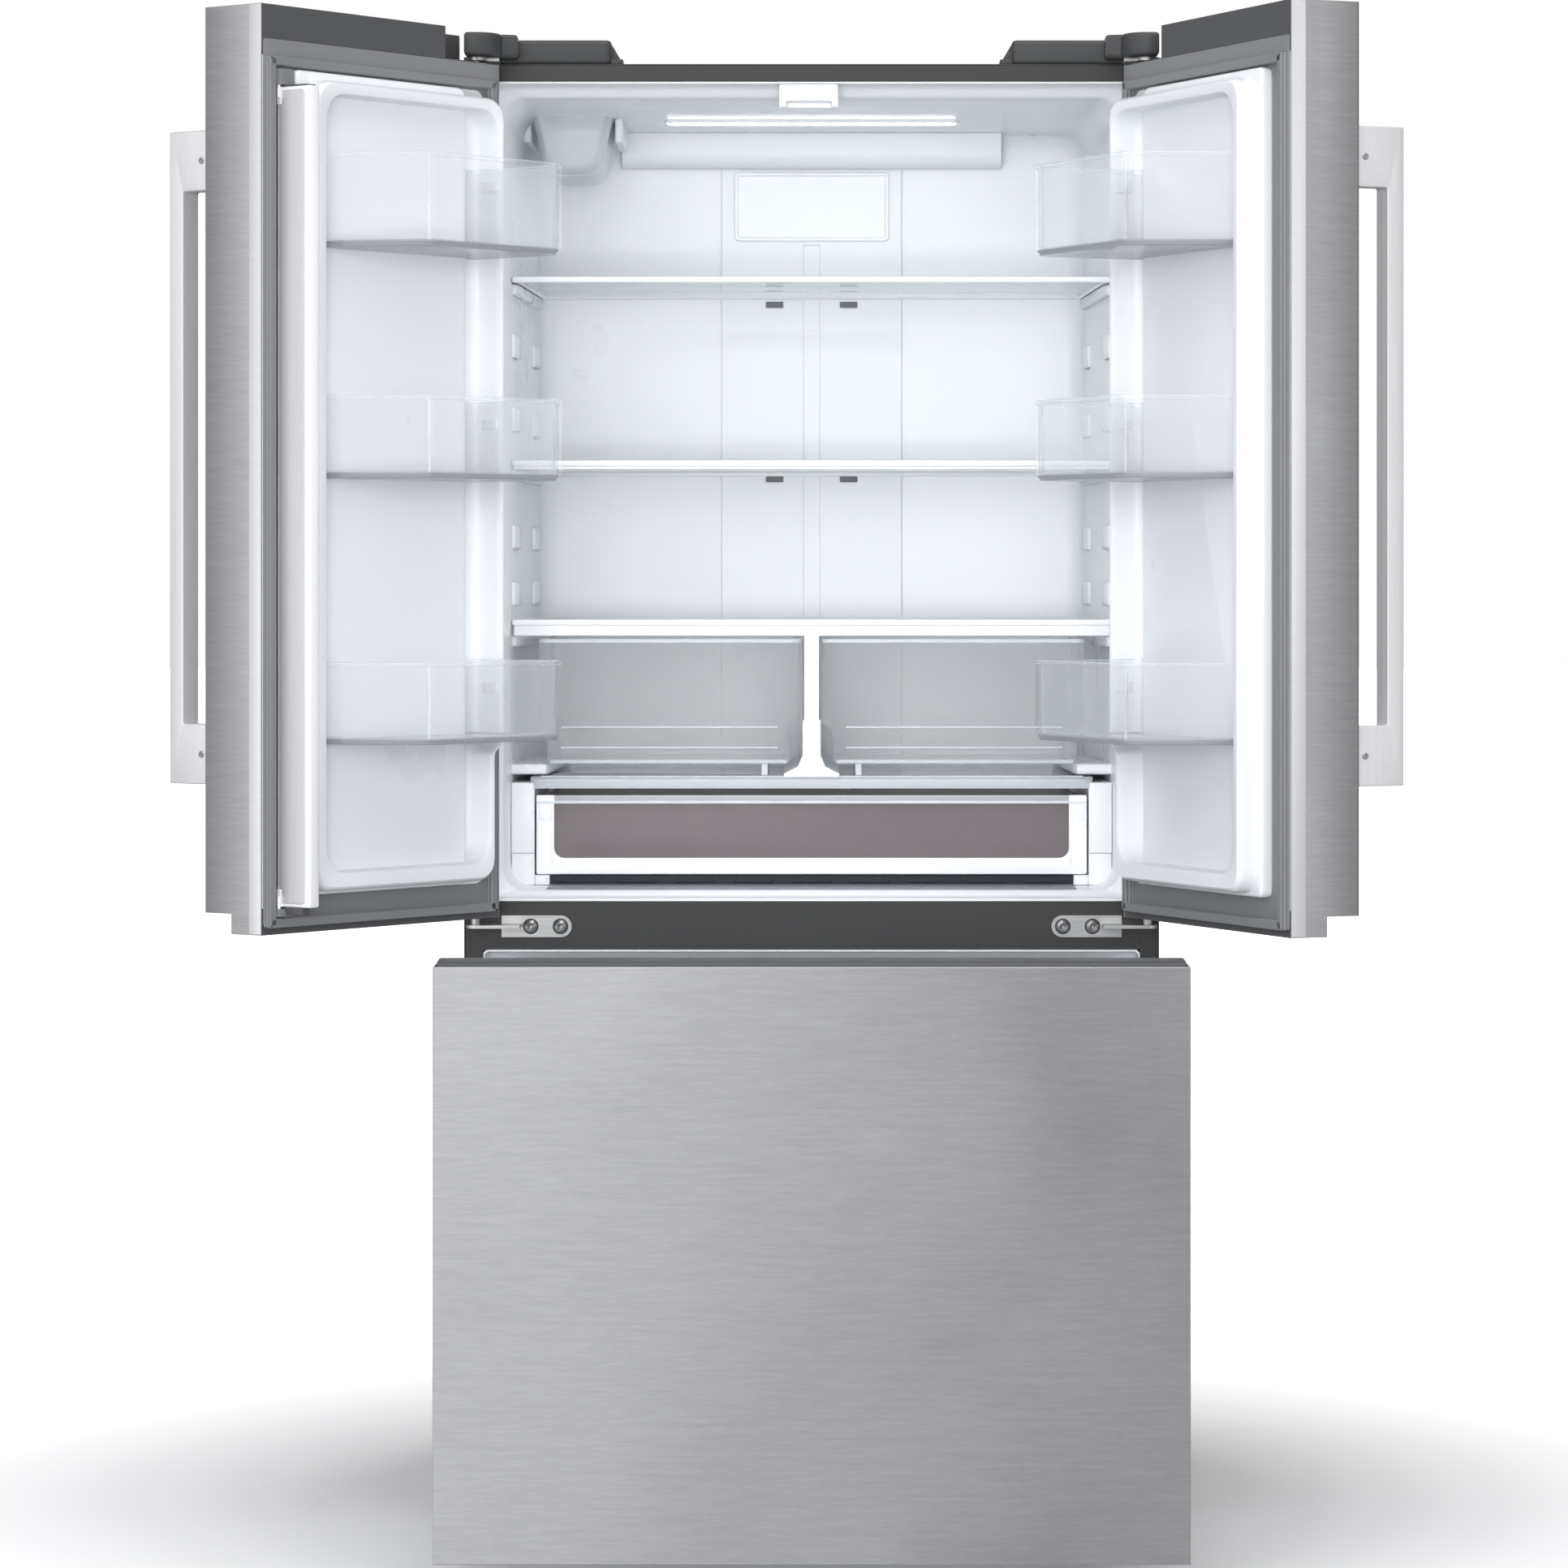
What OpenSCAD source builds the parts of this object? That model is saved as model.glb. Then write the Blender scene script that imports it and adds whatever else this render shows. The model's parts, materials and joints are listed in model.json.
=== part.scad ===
// French door refrigerator with a full-width freezer drawer below.
// Millimetres, +Z up. +X is the right-hand side as one faces the doors, and the
// doors face -Y. The origin is on the floor, midway between the two front feet.
// Doors and drawer are modelled shut and then placed at the open rest position.

/* [Cabinet] */
// Width of the cabinet and of the freezer drawer front
case_w = 832; // [832:1:834]
// Depth of the cabinet behind its front frame
case_d = 730; // [728:1:740]
// Height of the cabinet top above the floor
case_h = 1740; // [1740:1:1742]
// Height of the cabinet underside above the floor
case_z = 30; // [30:1:31]
// Thickness of the sheet metal in case and door skins
sheet = 1.5; // [1.2:0.1:1.5]

/* [Doors] */
// Gap between the two doors when shut
door_gap = 3; // [3:0.5:5]
// Thickness of a door without its gasket
door_t = 88; // [88:1:90]
// Gap that the gasket fills between door and cabinet frame
gasket_t = 12; // [12:0.5:13]
// Height of the underside of the doors above the floor
door_z0 = 721; // [721:1:722]
// Height of the top of the doors above the floor
door_z1 = 1774; // [1774:1:1776]
// Opening angle of the left door at rest, in degrees
left_open = 127; // [110:1:128]
// Opening angle of the right door at rest, in degrees
right_open = 113.5; // [110:0.5:128]

/* [Freezer drawer] */
// Distance that the freezer drawer stands open at rest
drawer_pull = 434; // [380:1:440]
// Height of the lower edge of the drawer front
drawer_z0 = 42; // [42:1:44]
// Height of the upper edge of the drawer front
drawer_z1 = 698; // [698:1:699]

/* [Interior] */
// Heights of the undersides of the upper and the middle shelf
shelf_z = [1486, 1258];
// Depth of the shelves from front to back
shelf_d = 408; // [400:1:410]
// Length of a crisper and of the deli drawer from front to back
crisper_d = 370; // [350:5:375]
// Distance from the cabinet frame back to the front of shelves and crispers
shelf_y = 146; // [146:1:150]

/* [Hidden] */
$fn = 48;
half = case_w / 2;
frame_y = -40;
back_y = frame_y + case_d;
door_w = (case_w - door_gap) / 2;
door_y = frame_y - gasket_t;
in_half = half - sheet;

// Opening of the cabinet frame and the rail between the two compartments
open_x = 393;
open_z0 = 60;
open_z1 = 1719;
rail_z0 = 680;
rail_z1 = 738;
frame_t = 3;

// Inside of the fresh food compartment
liner_t = 2.5;
lip_d = 40;
flare_d = 62;
cavity_x = 371.5;
cavity_back_x = 354;
cavity_d = 600;
cavity_z0 = 748;
cavity_z1 = 1704;

// Inside of the freezer compartment, stepped over the machine space
frz_x = 372;
frz_z0 = 80;
frz_z1 = 664;
frz_step_d = 440;
frz_step_z = 330;
frz_d = 560;
machine_y = 472;
machine_z = 290;

// Hinge axis, measured in from the hinge-side back corner of a door
hinge_u = 16;
hinge_v = -23.5;
hinge_x = half - hinge_u;
hinge_y = door_y + hinge_v;
pin_r = 5;
run_gap = 0.05;

// Door shape: a step under the front half, a notch over the top hinge
step_v = -46;
step_z = 744;
notch_u = 97;
notch_v = -62;
notch_z = 1736;
cap_z0 = 751;
dike_v = 38;
dike_u = [30, 372];
dike_z = [764, 1701];
dike_step = [16, 918];
well_u = [43, 345];
well_z = [790, 1675];

// Door bins: underside and rim heights
bin_z = [[1501, 1607], [1238, 1332], [936, 1029]];

// Swinging centre seal, in door coordinates
mullion_pivot = [396.75, 10.75];
mullion_z = [753, 1680];
mullion_pin_r = 2;

// Handles
handle_z = [889.5, 1635];
handle_post = 68.6;
handle_out = 60;
handle_t = 21;
handle_u = [382.5, 408.5];

// Shelf and drawer heights inside the fresh food compartment
cover_z = 1054;
crisper_z = [897, 1050];
crisper_x = [12, 335];
glide_gap = 0.4;
deli_z = [762, 859];
deli_x = 337;
lid_z = [874, 881];
lid_x = 345;

// Colours
stainless = [0.66, 0.66, 0.66];
handle_grey = [0.80, 0.80, 0.80];
dark_grey = [0.31, 0.32, 0.33];
mid_grey = [0.50, 0.51, 0.52];
white = [0.93, 0.94, 0.96];
clear = [0.85, 0.90, 0.93, 0.4];
smoke = [0.55, 0.52, 0.54, 0.6];
steel = [0.72, 0.73, 0.74];
black = [0.12, 0.12, 0.13];
foam = [0.92, 0.88, 0.70];

// ---- helpers ---------------------------------------------------------------

// Box from its lowest and highest corner
module block(a, b) translate(a) cube(b - a);

// Rectangle with four round corners, from corner a to corner b
module round_rect(a, b, r) {
    translate([a[0] + r, a[1]]) square([b[0] - a[0] - 2 * r, b[1] - a[1]]);
    translate([a[0], a[1] + r]) square([b[0] - a[0], b[1] - a[1] - 2 * r]);
    for (x = [a[0] + r, b[0] - r], y = [a[1] + r, b[1] - r])
        translate([x, y]) circle(r);
}

// Outline in X and Z, extruded from y0 to y1
module along_y(y0, y1)
    translate([0, y1, 0]) rotate([90, 0, 0]) linear_extrude(y1 - y0) children();

// Outline in Y and Z, extruded from x0 to x1
module along_x(x0, x1)
    translate([x0, 0, 0]) rotate([90, 0, 90]) linear_extrude(x1 - x0) children();

// Points on an arc
function arc(c, r, a0, a1, n) =
    [for (i = [0:n]) c + r * [cos(a0 + (a1 - a0) * i / n), sin(a0 + (a1 - a0) * i / n)]];

// The same piece on both sides of the cabinet
module both_sides() {
    children();
    mirror([1, 0, 0]) children();
}

// Half width of the fresh food compartment at a depth behind the frame
function wall_x(d) = cavity_x - (cavity_x - cavity_back_x) * (d - flare_d) / (cavity_d - flare_d);

// Flat plate that follows the tapered side walls, between depths d0 and d1
module tapered_plate(d0, d1, z0, z1, inset)
    translate([0, frame_y, z0]) linear_extrude(z1 - z0)
        polygon([[-wall_x(d0) + inset, d0], [wall_x(d0) - inset, d0],
                 [wall_x(d1) - inset, d1], [-wall_x(d1) + inset, d1]]);

// A door's own coordinates: X from the hinge side to the free edge, Y inward from
// its back plane. swing() takes them to the cabinet, with the door at an angle.
module swing(angle)
    translate([-hinge_x, hinge_y, 0]) rotate([0, 0, -angle])
        translate([-hinge_u, -hinge_v, 0]) children();
module on_left() swing(left_open) children();
module on_right() mirror([1, 0, 0]) swing(right_open) children();

// The freezer drawer at its rest position
module pulled(share = 1) translate([0, -drawer_pull * share, 0]) children();

// ---- cabinet ---------------------------------------------------------------

// Painted steel wrapper: two sides and the top in one bent sheet
module outer_case()
    color(dark_grey)
        difference() {
            block([-half, frame_y, case_z], [half, back_y, case_h]);
            block([-in_half, frame_y - 1, case_z - 1], [in_half, back_y + 1, case_h - sheet]);
        }

// Back sheet, and below it the louvred cover of the machine space
module rear_panels()
    color(dark_grey) {
        slot_z = [for (row = [0:8]) 80 + 22 * row];
        difference() {
            block([-in_half, back_y - sheet, machine_z + 2], [in_half, back_y, case_h - sheet]);
            for (x = [-200, 200])
                translate([x, back_y, 1690]) rotate([90, 0, 0])
                    cylinder(h = 10, r = 6, center = true);
        }
        difference() {
            block([-in_half, back_y - sheet, case_z + 2], [in_half, back_y, machine_z]);
            for (z = slot_z, x = [-330, -110, 110, 330])
                block([x - 80, back_y - 5, z], [x + 80, back_y + 1, z + 8]);
        }
    }

foot_x = 350;
foot_r = 22;
foot_stem_r = 6;
roller_y = 640;
roller_r = 18;
roller_w = 16;
axle_r = 4;
fork_t = 3;
fork_gap = roller_w + 4;

// Bottom pan with the front foot brackets, and the rear forks with a slot for each roller
module base_pan()
    color(steel)
        difference() {
            union() {
                block([-in_half, frame_y + frame_t, case_z], [in_half, back_y - sheet, case_z + 2]);
                for (s = [-1, 1]) {
                    translate([s * foot_x, 0, 16]) cylinder(h = case_z - 15, r = 15);
                    for (e = [-fork_gap / 2 - fork_t, fork_gap / 2])
                        block([s * foot_x + e, roller_y - 12, 8],
                              [s * foot_x + e + fork_t, roller_y + 12, case_z + 1]);
                }
            }
            for (s = [-1, 1]) {
                translate([s * foot_x, 0, 10]) cylinder(h = 40, r = foot_stem_r + 0.2);
                translate([s * foot_x, roller_y, roller_r]) rotate([0, 90, 0])
                    cylinder(h = 60, r = axle_r + run_gap, center = true);
                block([s * foot_x - fork_gap / 2 + 0.5, roller_y - roller_r, case_z - 1],
                      [s * foot_x + fork_gap / 2 - 0.5, roller_y + roller_r, case_z + 3]);
            }
        }

// Front levelling feet: a round pad on a screw stem
module levelling_feet()
    color(black)
        for (s = [-1, 1])
            translate([s * foot_x, 0, 0]) {
                cylinder(h = 12, r = foot_r);
                cylinder(h = case_z, r = foot_stem_r);
            }

// Rear transport rollers with their axles
module rear_rollers()
    color(black)
        for (s = [-1, 1])
            translate([s * foot_x, roller_y, roller_r]) rotate([0, 90, 0]) {
                cylinder(h = roller_w, r = roller_r, center = true);
                cylinder(h = fork_gap + 2 * fork_t + 2, r = axle_r, center = true);
            }

// Painted ring that the door and drawer gaskets meet
module front_frame()
    color(dark_grey)
        along_y(frame_y, frame_y + frame_t)
            difference() {
                translate([-in_half, case_z]) square([2 * in_half, case_h - sheet - case_z]);
                translate([-open_x, open_z0]) square([2 * open_x, open_z1 - open_z0]);
            }

hinge_screw_x = [300.5, 336];
hinge_plate_zc = 708;

// Channel between the two compartments, which carries the middle hinges
module mid_rail()
    color(dark_grey)
        difference() {
            block([-open_x, frame_y, rail_z0], [open_x, frame_y + 35, rail_z1]);
            block([-open_x - 1, frame_y + 2, rail_z0 + 2], [open_x + 1, frame_y + 36, rail_z1 - 2]);
            for (x = hinge_screw_x, s = [-1, 1])
                translate([s * x, frame_y, hinge_plate_zc]) rotate([90, 0, 0])
                    cylinder(h = 8, r = 3, center = true);
        }

// Space inside the fresh food liner, or its outer shell with grow above zero
module fridge_space(y0, grow)
    intersection() {
        translate([0, frame_y, 700]) linear_extrude(1100)
            polygon([for (s = [-1, 1], k = [0:4])
                let (i = s < 0 ? k : 4 - k)
                [s * ([open_x - 1.5, open_x - 1.5, cavity_x, cavity_back_x, 0][i] + (i < 4 ? grow : 0)),
                 [y0, lip_d, flare_d, cavity_d + grow, cavity_d + grow][i]]]);
        along_x(-half, half)
            translate([frame_y, 0])
                polygon([[y0, rail_z1 + liner_t - grow], [lip_d, rail_z1 + liner_t - grow],
                         [flare_d, cavity_z0 - grow], [cavity_d + grow, cavity_z0 - grow],
                         [cavity_d + grow, cavity_z1 + grow], [flare_d, cavity_z1 + grow],
                         [lip_d, open_z1 - 2 + grow], [y0, open_z1 - 2 + grow]]);
    }

// Moulded liner of the fresh food compartment, with ledges for the shelves
module fridge_liner()
    color(white) {
        difference() {
            fridge_space(frame_t, liner_t);
            fridge_space(-1, 0);
        }
        both_sides() {
            for (z = [shelf_z[0], shelf_z[1], cover_z])
                wall_ledge(shelf_y + 24, shelf_y + 384, z - 16, z, 9);
            wall_ledge(shelf_y + 20, shelf_y + 380, lid_z[1] + 0.5, crisper_z[0] - glide_gap, 46);
        }
    }

// Ledge on the left wall that follows the taper
module wall_ledge(d0, d1, z0, z1, reach)
    translate([0, frame_y, z0]) linear_extrude(z1 - z0)
        polygon([[-wall_x(d0) - 1, d0], [-wall_x(d0) + reach, d0],
                 [-wall_x(d1) + reach, d1], [-wall_x(d1) - 1, d1]]);

// Freezer outline in Y and Z, grown outward by the wall
module freezer_profile(y0, grow)
    polygon([[y0, open_z0 + liner_t - grow], [lip_d, open_z0 + liner_t - grow],
             [flare_d, frz_z0 - grow], [frz_step_d + grow, frz_z0 - grow],
             [frz_step_d + grow, frz_step_z - 30 - grow / 2],
             [frz_step_d + 30 + grow / 2, frz_step_z - grow], [frz_d + grow, frz_step_z - grow],
             [frz_d + grow, frz_z1 + grow], [flare_d, frz_z1 + grow],
             [lip_d, rail_z0 - liner_t + grow], [y0, rail_z0 - liner_t + grow]]);

module freezer_space(y0, grow)
    intersection() {
        along_x(-half, half) translate([frame_y, 0]) freezer_profile(y0, grow);
        translate([0, frame_y, 0]) linear_extrude(rail_z1)
            polygon([[-open_x + 1.5 - grow, y0], [open_x - 1.5 + grow, y0],
                     [open_x - 1.5 + grow, lip_d], [frz_x + grow, flare_d],
                     [frz_x + grow, frz_d + grow], [-frz_x - grow, frz_d + grow],
                     [-frz_x - grow, flare_d], [-open_x + 1.5 - grow, lip_d]]);
    }

tray_z = [548, 640];
tray_ledge_z = 596;

// Moulded freezer liner with ledges for the upper tray
module freezer_liner()
    color(white) {
        difference() {
            freezer_space(frame_t, liner_t);
            freezer_space(-1, 0);
        }
        both_sides()
            block([-frz_x - 1, frame_y + 70, tray_ledge_z - 12], [-frz_x + 20, frame_y + 470, tray_ledge_z]);
    }

// Insulation foamed between the wrapper and the two liners
module case_foam()
    color(foam)
        difference() {
            block([-in_half, frame_y + frame_t, case_z + 2], [in_half, back_y - sheet, case_h - sheet]);
            fridge_space(frame_t - 1, liner_t);
            freezer_space(frame_t - 1, liner_t);
            block([-open_x, frame_y, rail_z0], [open_x, frame_y + 35, rail_z1]);
            block([-half, machine_y, case_z], [half, back_y, machine_z]);
        }

// ---- air, light and shelves ------------------------------------------------

duct_x = 118;
duct_y = frame_y + cavity_d - 6;
hump_x = 247;
hump_z = 1669;
vent_x = [37, 60];
vent_z = [1505, 1478, 1250];

// Back wall duct cover with a centre groove, air vents and a bulge at the top
module air_duct()
    color(white)
        difference() {
            union() {
                block([-duct_x, duct_y, 770], [duct_x, frame_y + cavity_d, hump_z]);
                along_x(-hump_x, hump_x)
                    polygon(concat([[frame_y + cavity_d, hump_z - 10], [frame_y + cavity_d, cavity_z1],
                                    [frame_y + cavity_d - 45, cavity_z1]],
                                   arc([frame_y + cavity_d - 27, hump_z + 8], 18, 180, 270, 6)));
            }
            block([-11, duct_y - 1, 760], [11, duct_y + 3, 1560]);
            for (s = [-1, 1], z = vent_z)
                block([s > 0 ? vent_x[0] : -vent_x[1], duct_y - 1, z],
                      [s > 0 ? vent_x[1] : -vent_x[0], duct_y + 4, z + 8]);
        }

panel_x = 101;
panel_z = [1565, 1655];

// Blank cover plate over the upper air outlet
module airflow_panel()
    color(white)
        along_y(duct_y - 5, duct_y) round_rect([-panel_x, panel_z[0]], [panel_x, panel_z[1]], 6);

lamp_x = 183;
lamp_y = frame_y + 378;

// Diffuser of the light bar in the ceiling
module lamp_lens()
    color([1, 1, 1])
        translate([0, 0, cavity_z1 - 5]) linear_extrude(5)
            round_rect([-lamp_x, lamp_y - 9], [lamp_x, lamp_y + 9], 6);

filter_x = [-351, -250];
filter_y = [frame_y + 290, frame_y + 500];
filter_z = 1631;

// Round-bellied housing of the water filter under the ceiling
module filter_housing()
    color(clear)
        difference() {
            along_y(filter_y[0], filter_y[1]) filter_outline(0);
            along_y(filter_y[0] + 3, filter_y[1] - 3) filter_outline(3);
        }

module filter_outline(t) {
    r = 30 - t;
    polygon(concat(arc([filter_x[0] + 36, filter_z + 30], r, 200, 270, 6),
                   arc([filter_x[1] - 36, filter_z + 30], r, 270, 340, 6),
                   [[filter_x[1] - t, cavity_z1 - t], [filter_x[0] + t, cavity_z1 - t]]));
}

// Guide block that turns the centre seal as the left door shuts
module mullion_guide()
    color(white)
        difference() {
            block([-39, frame_y + 6, 1689], [32, frame_y + lip_d - 2, open_z1 - 2]);
            block([-30, frame_y + 5, 1688], [24, frame_y + 22, 1696]);
        }

shelf_t = 8;
glass_t = 4;
trim_d = 12;

// Tempered glass panes: upper shelf, middle shelf and crisper cover
module shelf_glass()
    color(clear)
        for (z = [shelf_z[0] + shelf_t, shelf_z[1] + shelf_t + 3, cover_z + 20])
            tapered_plate(shelf_y + trim_d, shelf_y + shelf_d - trim_d, z - glass_t, z, 5);

// White trims round the panes
module shelf_frames()
    color(white) {
        shelf_trim(shelf_z[0], shelf_t);
        shelf_trim(shelf_z[1], shelf_t + 3);
        shelf_trim(cover_z, 20);
    }

module shelf_trim(z, t)
    difference() {
        tapered_plate(shelf_y, shelf_y + shelf_d, z, z + t, 1.2);
        tapered_plate(shelf_y + trim_d, shelf_y + shelf_d - trim_d, z + t - glass_t, z + t + 1, 5);
        tapered_plate(shelf_y + trim_d, shelf_y + shelf_d - trim_d, z - 1, z + t, 9);
    }

// Centre runner between the crispers, standing on the deli lid, with a glide under each
module crisper_rail()
    color(white) {
        along_y(frame_y + shelf_y + 2, frame_y + shelf_y + shelf_d - 6)
            polygon([[-34, lid_z[1]], [34, lid_z[1]], [34, lid_z[1] + 4], [22, lid_z[1] + 9],
                     [9, 925], [9, cover_z], [-9, cover_z], [-9, 925],
                     [-22, lid_z[1] + 9], [-34, lid_z[1] + 4]]);
        both_sides() {
            block([30, frame_y + shelf_y + 60, lid_z[1]], [62, frame_y + shelf_y + 340, lid_z[1] + 3]);
            block([54, frame_y + shelf_y + 60, lid_z[1]],
                  [62, frame_y + shelf_y + 340, crisper_z[0] - glide_gap]);
        }
    }

// Clear lid over the deli drawer with a down-turned front lip
module deli_lid()
    color(clear) {
        block([-lid_x, frame_y + shelf_y, lid_z[0]], [lid_x, frame_y + shelf_y + shelf_d - 6, lid_z[1]]);
        block([-lid_x, frame_y + shelf_y, lid_z[0] - 12], [lid_x, frame_y + shelf_y + 5, lid_z[0] + 1]);
    }

// White side blocks that the deli drawer runs between
module deli_rails()
    color(white)
        both_sides()
            difference() {
                translate([0, frame_y, cavity_z0]) linear_extrude(lid_z[0] - cavity_z0)
                    polygon([[-wall_x(shelf_y + 6) + 0.3, shelf_y + 6], [-deli_x - 2, shelf_y + 6],
                             [-deli_x - 2, shelf_y + 380], [-wall_x(shelf_y + 380) + 0.3, shelf_y + 380]]);
                block([-deli_x - 12, frame_y + shelf_y, 787], [-deli_x, frame_y + shelf_y + 30, lid_z[0] + 1]);
            }

// Open box with walls t, outline given as a child in X and Z
module crisper_box(x0, x1, z0, z1, t, slant) {
    y0 = frame_y + shelf_y;
    difference() {
        along_y(y0, y0 + crisper_d) crisper_outline(x0, x1, z0, z1, 0, slant);
        along_y(y0 + t, y0 + crisper_d - t) crisper_outline(x0, x1, z0, z1 + 10, t, slant);
    }
}

// Box outline with slanted lower corners: slant is [near the centre, outer side]
module crisper_outline(x0, x1, z0, z1, t, slant)
    polygon([[x0 + t, z1], [x0 + t, z0 + 45], [x0 + slant[0] + t, z0 + 38],
             [x0 + slant[0] + t, z0 + 8], [x0 + slant[0] + 8 + t / 2, z0 + t],
             [x1 - slant[1] - 8 - t / 2, z0 + t], [x1 - slant[1] - t, z0 + 8],
             [x1 - slant[1] - t, z0 + 38], [x1 - t, z0 + 45], [x1 - t, z1]]);

module crisper()
    color(clear)
        difference() {
            crisper_box(crisper_x[0], crisper_x[1], crisper_z[0], crisper_z[1], 2.2, [14, 10]);
            for (z = [916, 941])
                block([crisper_x[0] + 30, frame_y + shelf_y - 1, z],
                      [crisper_x[1] - 30, frame_y + shelf_y + 0.8, z + 2]);
        }

module right_crisper() crisper();
module left_crisper() mirror([1, 0, 0]) crisper();

deli_wall = 2.2;

// Full-width shallow drawer, behind its white front frame
module deli_drawer()
    color(smoke)
        difference() {
            block([-deli_x + 8, frame_y + shelf_y + 6, deli_z[0]],
                  [deli_x - 8, frame_y + shelf_y + crisper_d, deli_z[1] - 2]);
            block([-deli_x + 8 + deli_wall, frame_y + shelf_y + 6 + deli_wall, deli_z[0] + deli_wall],
                  [deli_x - 8 - deli_wall, frame_y + shelf_y + crisper_d - deli_wall, deli_z[1]]);
        }

// White frame with a window, fixed to the front of the deli drawer
module deli_front()
    color(white)
        along_y(frame_y + shelf_y, frame_y + shelf_y + 6)
            difference() {
                translate([-deli_x, deli_z[0]]) square([2 * deli_x, deli_z[1] - deli_z[0]]);
                round_rect([-deli_x + 22, deli_z[0] + 20], [deli_x - 22, deli_z[1] - 10], 10);
            }

// ---- hinges ----------------------------------------------------------------

top_plate_z = 1740;
top_plate_t = 4;
bracket_side = 9;
arm_z = 708;
arm_w = 24;

module top_hinge_plate()
    difference() {
        union() {
            translate([0, 0, top_plate_z]) linear_extrude(top_plate_t) {
                translate([-hinge_x, hinge_y]) circle(14);
                translate([-hinge_x - bracket_side, hinge_y]) square([bracket_side + 28, 95]);
                translate([-hinge_x - bracket_side, frame_y + 20]) square([bracket_side + 98, 40]);
            }
            translate([-hinge_x, hinge_y, notch_z - 12]) cylinder(h = top_plate_z - notch_z + 13, r = pin_r);
        }
        for (x = [-380, -310])
            translate([x, frame_y + 45, top_plate_z - 1]) cylinder(h = 8, r = 3);
    }

module middle_hinge_plate() {
    difference() {
        union() {
            along_y(frame_y - 3, frame_y) {
                translate([-371, 695]) square([71, 26]);
                translate([-300, hinge_plate_zc]) circle(13);
            }
            translate([0, 0, arm_z]) linear_extrude(4) {
                translate([-hinge_x, hinge_y]) circle(11);
                translate([-hinge_x, hinge_y - 11]) square([40, 22]);
                translate([-371, hinge_y - 11]) square([arm_w, frame_y - hinge_y + 10]);
            }
        }
        for (x = hinge_screw_x)
            translate([-x, frame_y, hinge_plate_zc]) rotate([90, 0, 0])
                cylinder(h = 8, r = 3, center = true);
    }
    translate([-hinge_x, hinge_y, arm_z + 1]) cylinder(h = door_z0 + 16 - arm_z, r = pin_r);
}

// Two hinge brackets on the cabinet top and two on the middle rail
module hinge_plates()
    color(steel)
        both_sides() {
            top_hinge_plate();
            middle_hinge_plate();
        }

// Button-head screws of the middle hinges and of the top brackets
module hinge_screws()
    color(steel)
        both_sides() {
            for (x = hinge_screw_x)
                translate([-x, frame_y - 3, hinge_plate_zc]) rotate([90, 0, 0]) {
                    difference() {
                        cylinder(h = 4, r1 = 7, r2 = 5);
                        translate([0, 0, 1.5]) cylinder(h = 4, r = 2.2);
                    }
                    translate([0, 0, -8]) cylinder(h = 8, r = 2.9);
                }
            for (x = [-380, -310])
                translate([x, frame_y + 45, top_plate_z]) {
                    translate([0, 0, top_plate_t]) cylinder(h = 4, r1 = 6, r2 = 5);
                    cylinder(h = top_plate_t + 1, r = 2.9);
                }
        }

cover_top = 1772;
cover_wall = 2.5;
nose_r = 32;
cover_x = [-412, -240];
cover_arm_x = -350;
cover_y = [frame_y + 3, frame_y + 78];

// Plan of the cover's nose over the hinge pin and its arm back to the case, with wall inset t
module cover_nose(t) {
    intersection() {
        translate([-hinge_x, hinge_y]) circle(nose_r - t);
        translate([cover_x[0] + t, hinge_y - nose_r]) square([90, nose_r]);
    }
    translate([cover_x[0] + t, hinge_y - 0.01])
        square([cover_arm_x - cover_x[0] - 2 * t, cover_y[0] + 10 - hinge_y]);
}

// Plan of the part of the cover that stands on the case
module cover_box(t)
    translate([cover_x[0] + t, cover_y[0] + t])
        square([cover_x[1] - cover_x[0] - 2 * t, cover_y[1] - cover_y[0] - 2 * t]);

// Dark plastic covers over the top hinges, each with a screwed ear at its inner end
module hinge_covers()
    color(dark_grey)
        both_sides() {
            nose_z = top_plate_z + top_plate_t + 0.3;
            difference() {
                union() {
                    translate([0, 0, nose_z]) linear_extrude(cover_top - nose_z) cover_nose(0);
                    translate([0, 0, case_h]) linear_extrude(cover_top - case_h) cover_box(0);
                }
                translate([0, 0, case_h - 1]) linear_extrude(cover_top - cover_wall - case_h + 1) {
                    cover_nose(cover_wall);
                    cover_box(cover_wall);
                }
                block([cover_x[0] + cover_wall, cover_y[0] - 1, case_h - 1],
                      [-hinge_x + 30, cover_y[0] + cover_wall + 1, nose_z]);
            }
            difference() {
                block([cover_x[1] - 0.01, frame_y + 8, case_h], [cover_x[1] + 14, frame_y + 70, case_h + 7]);
                translate([cover_x[1] + 8, frame_y + 40, case_h - 1]) cylinder(h = 10, r = 2.5);
            }
        }

// ---- doors, in door coordinates ---------------------------------------------

// Plan of the folded skin: front sheet with a return at each side
module skin_plan(v0)
    difference() {
        translate([0, -door_t]) square([door_w, door_t]);
        translate([sheet, -door_t + sheet]) square([door_w - 2 * sheet, door_t]);
        translate([-1, -door_t - 1]) square([door_w + 2, v0 + door_t + 1]);
    }

module door_skin()
    color(stainless)
        difference() {
            union() {
                translate([0, 0, step_z]) linear_extrude(door_z1 - step_z) skin_plan(-door_t);
                translate([0, 0, door_z0]) linear_extrude(step_z - door_z0 + 1) skin_plan(step_v);
            }
            block([-1, notch_v, notch_z], [notch_u, 1, door_z1 + 1]);
        }

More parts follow.
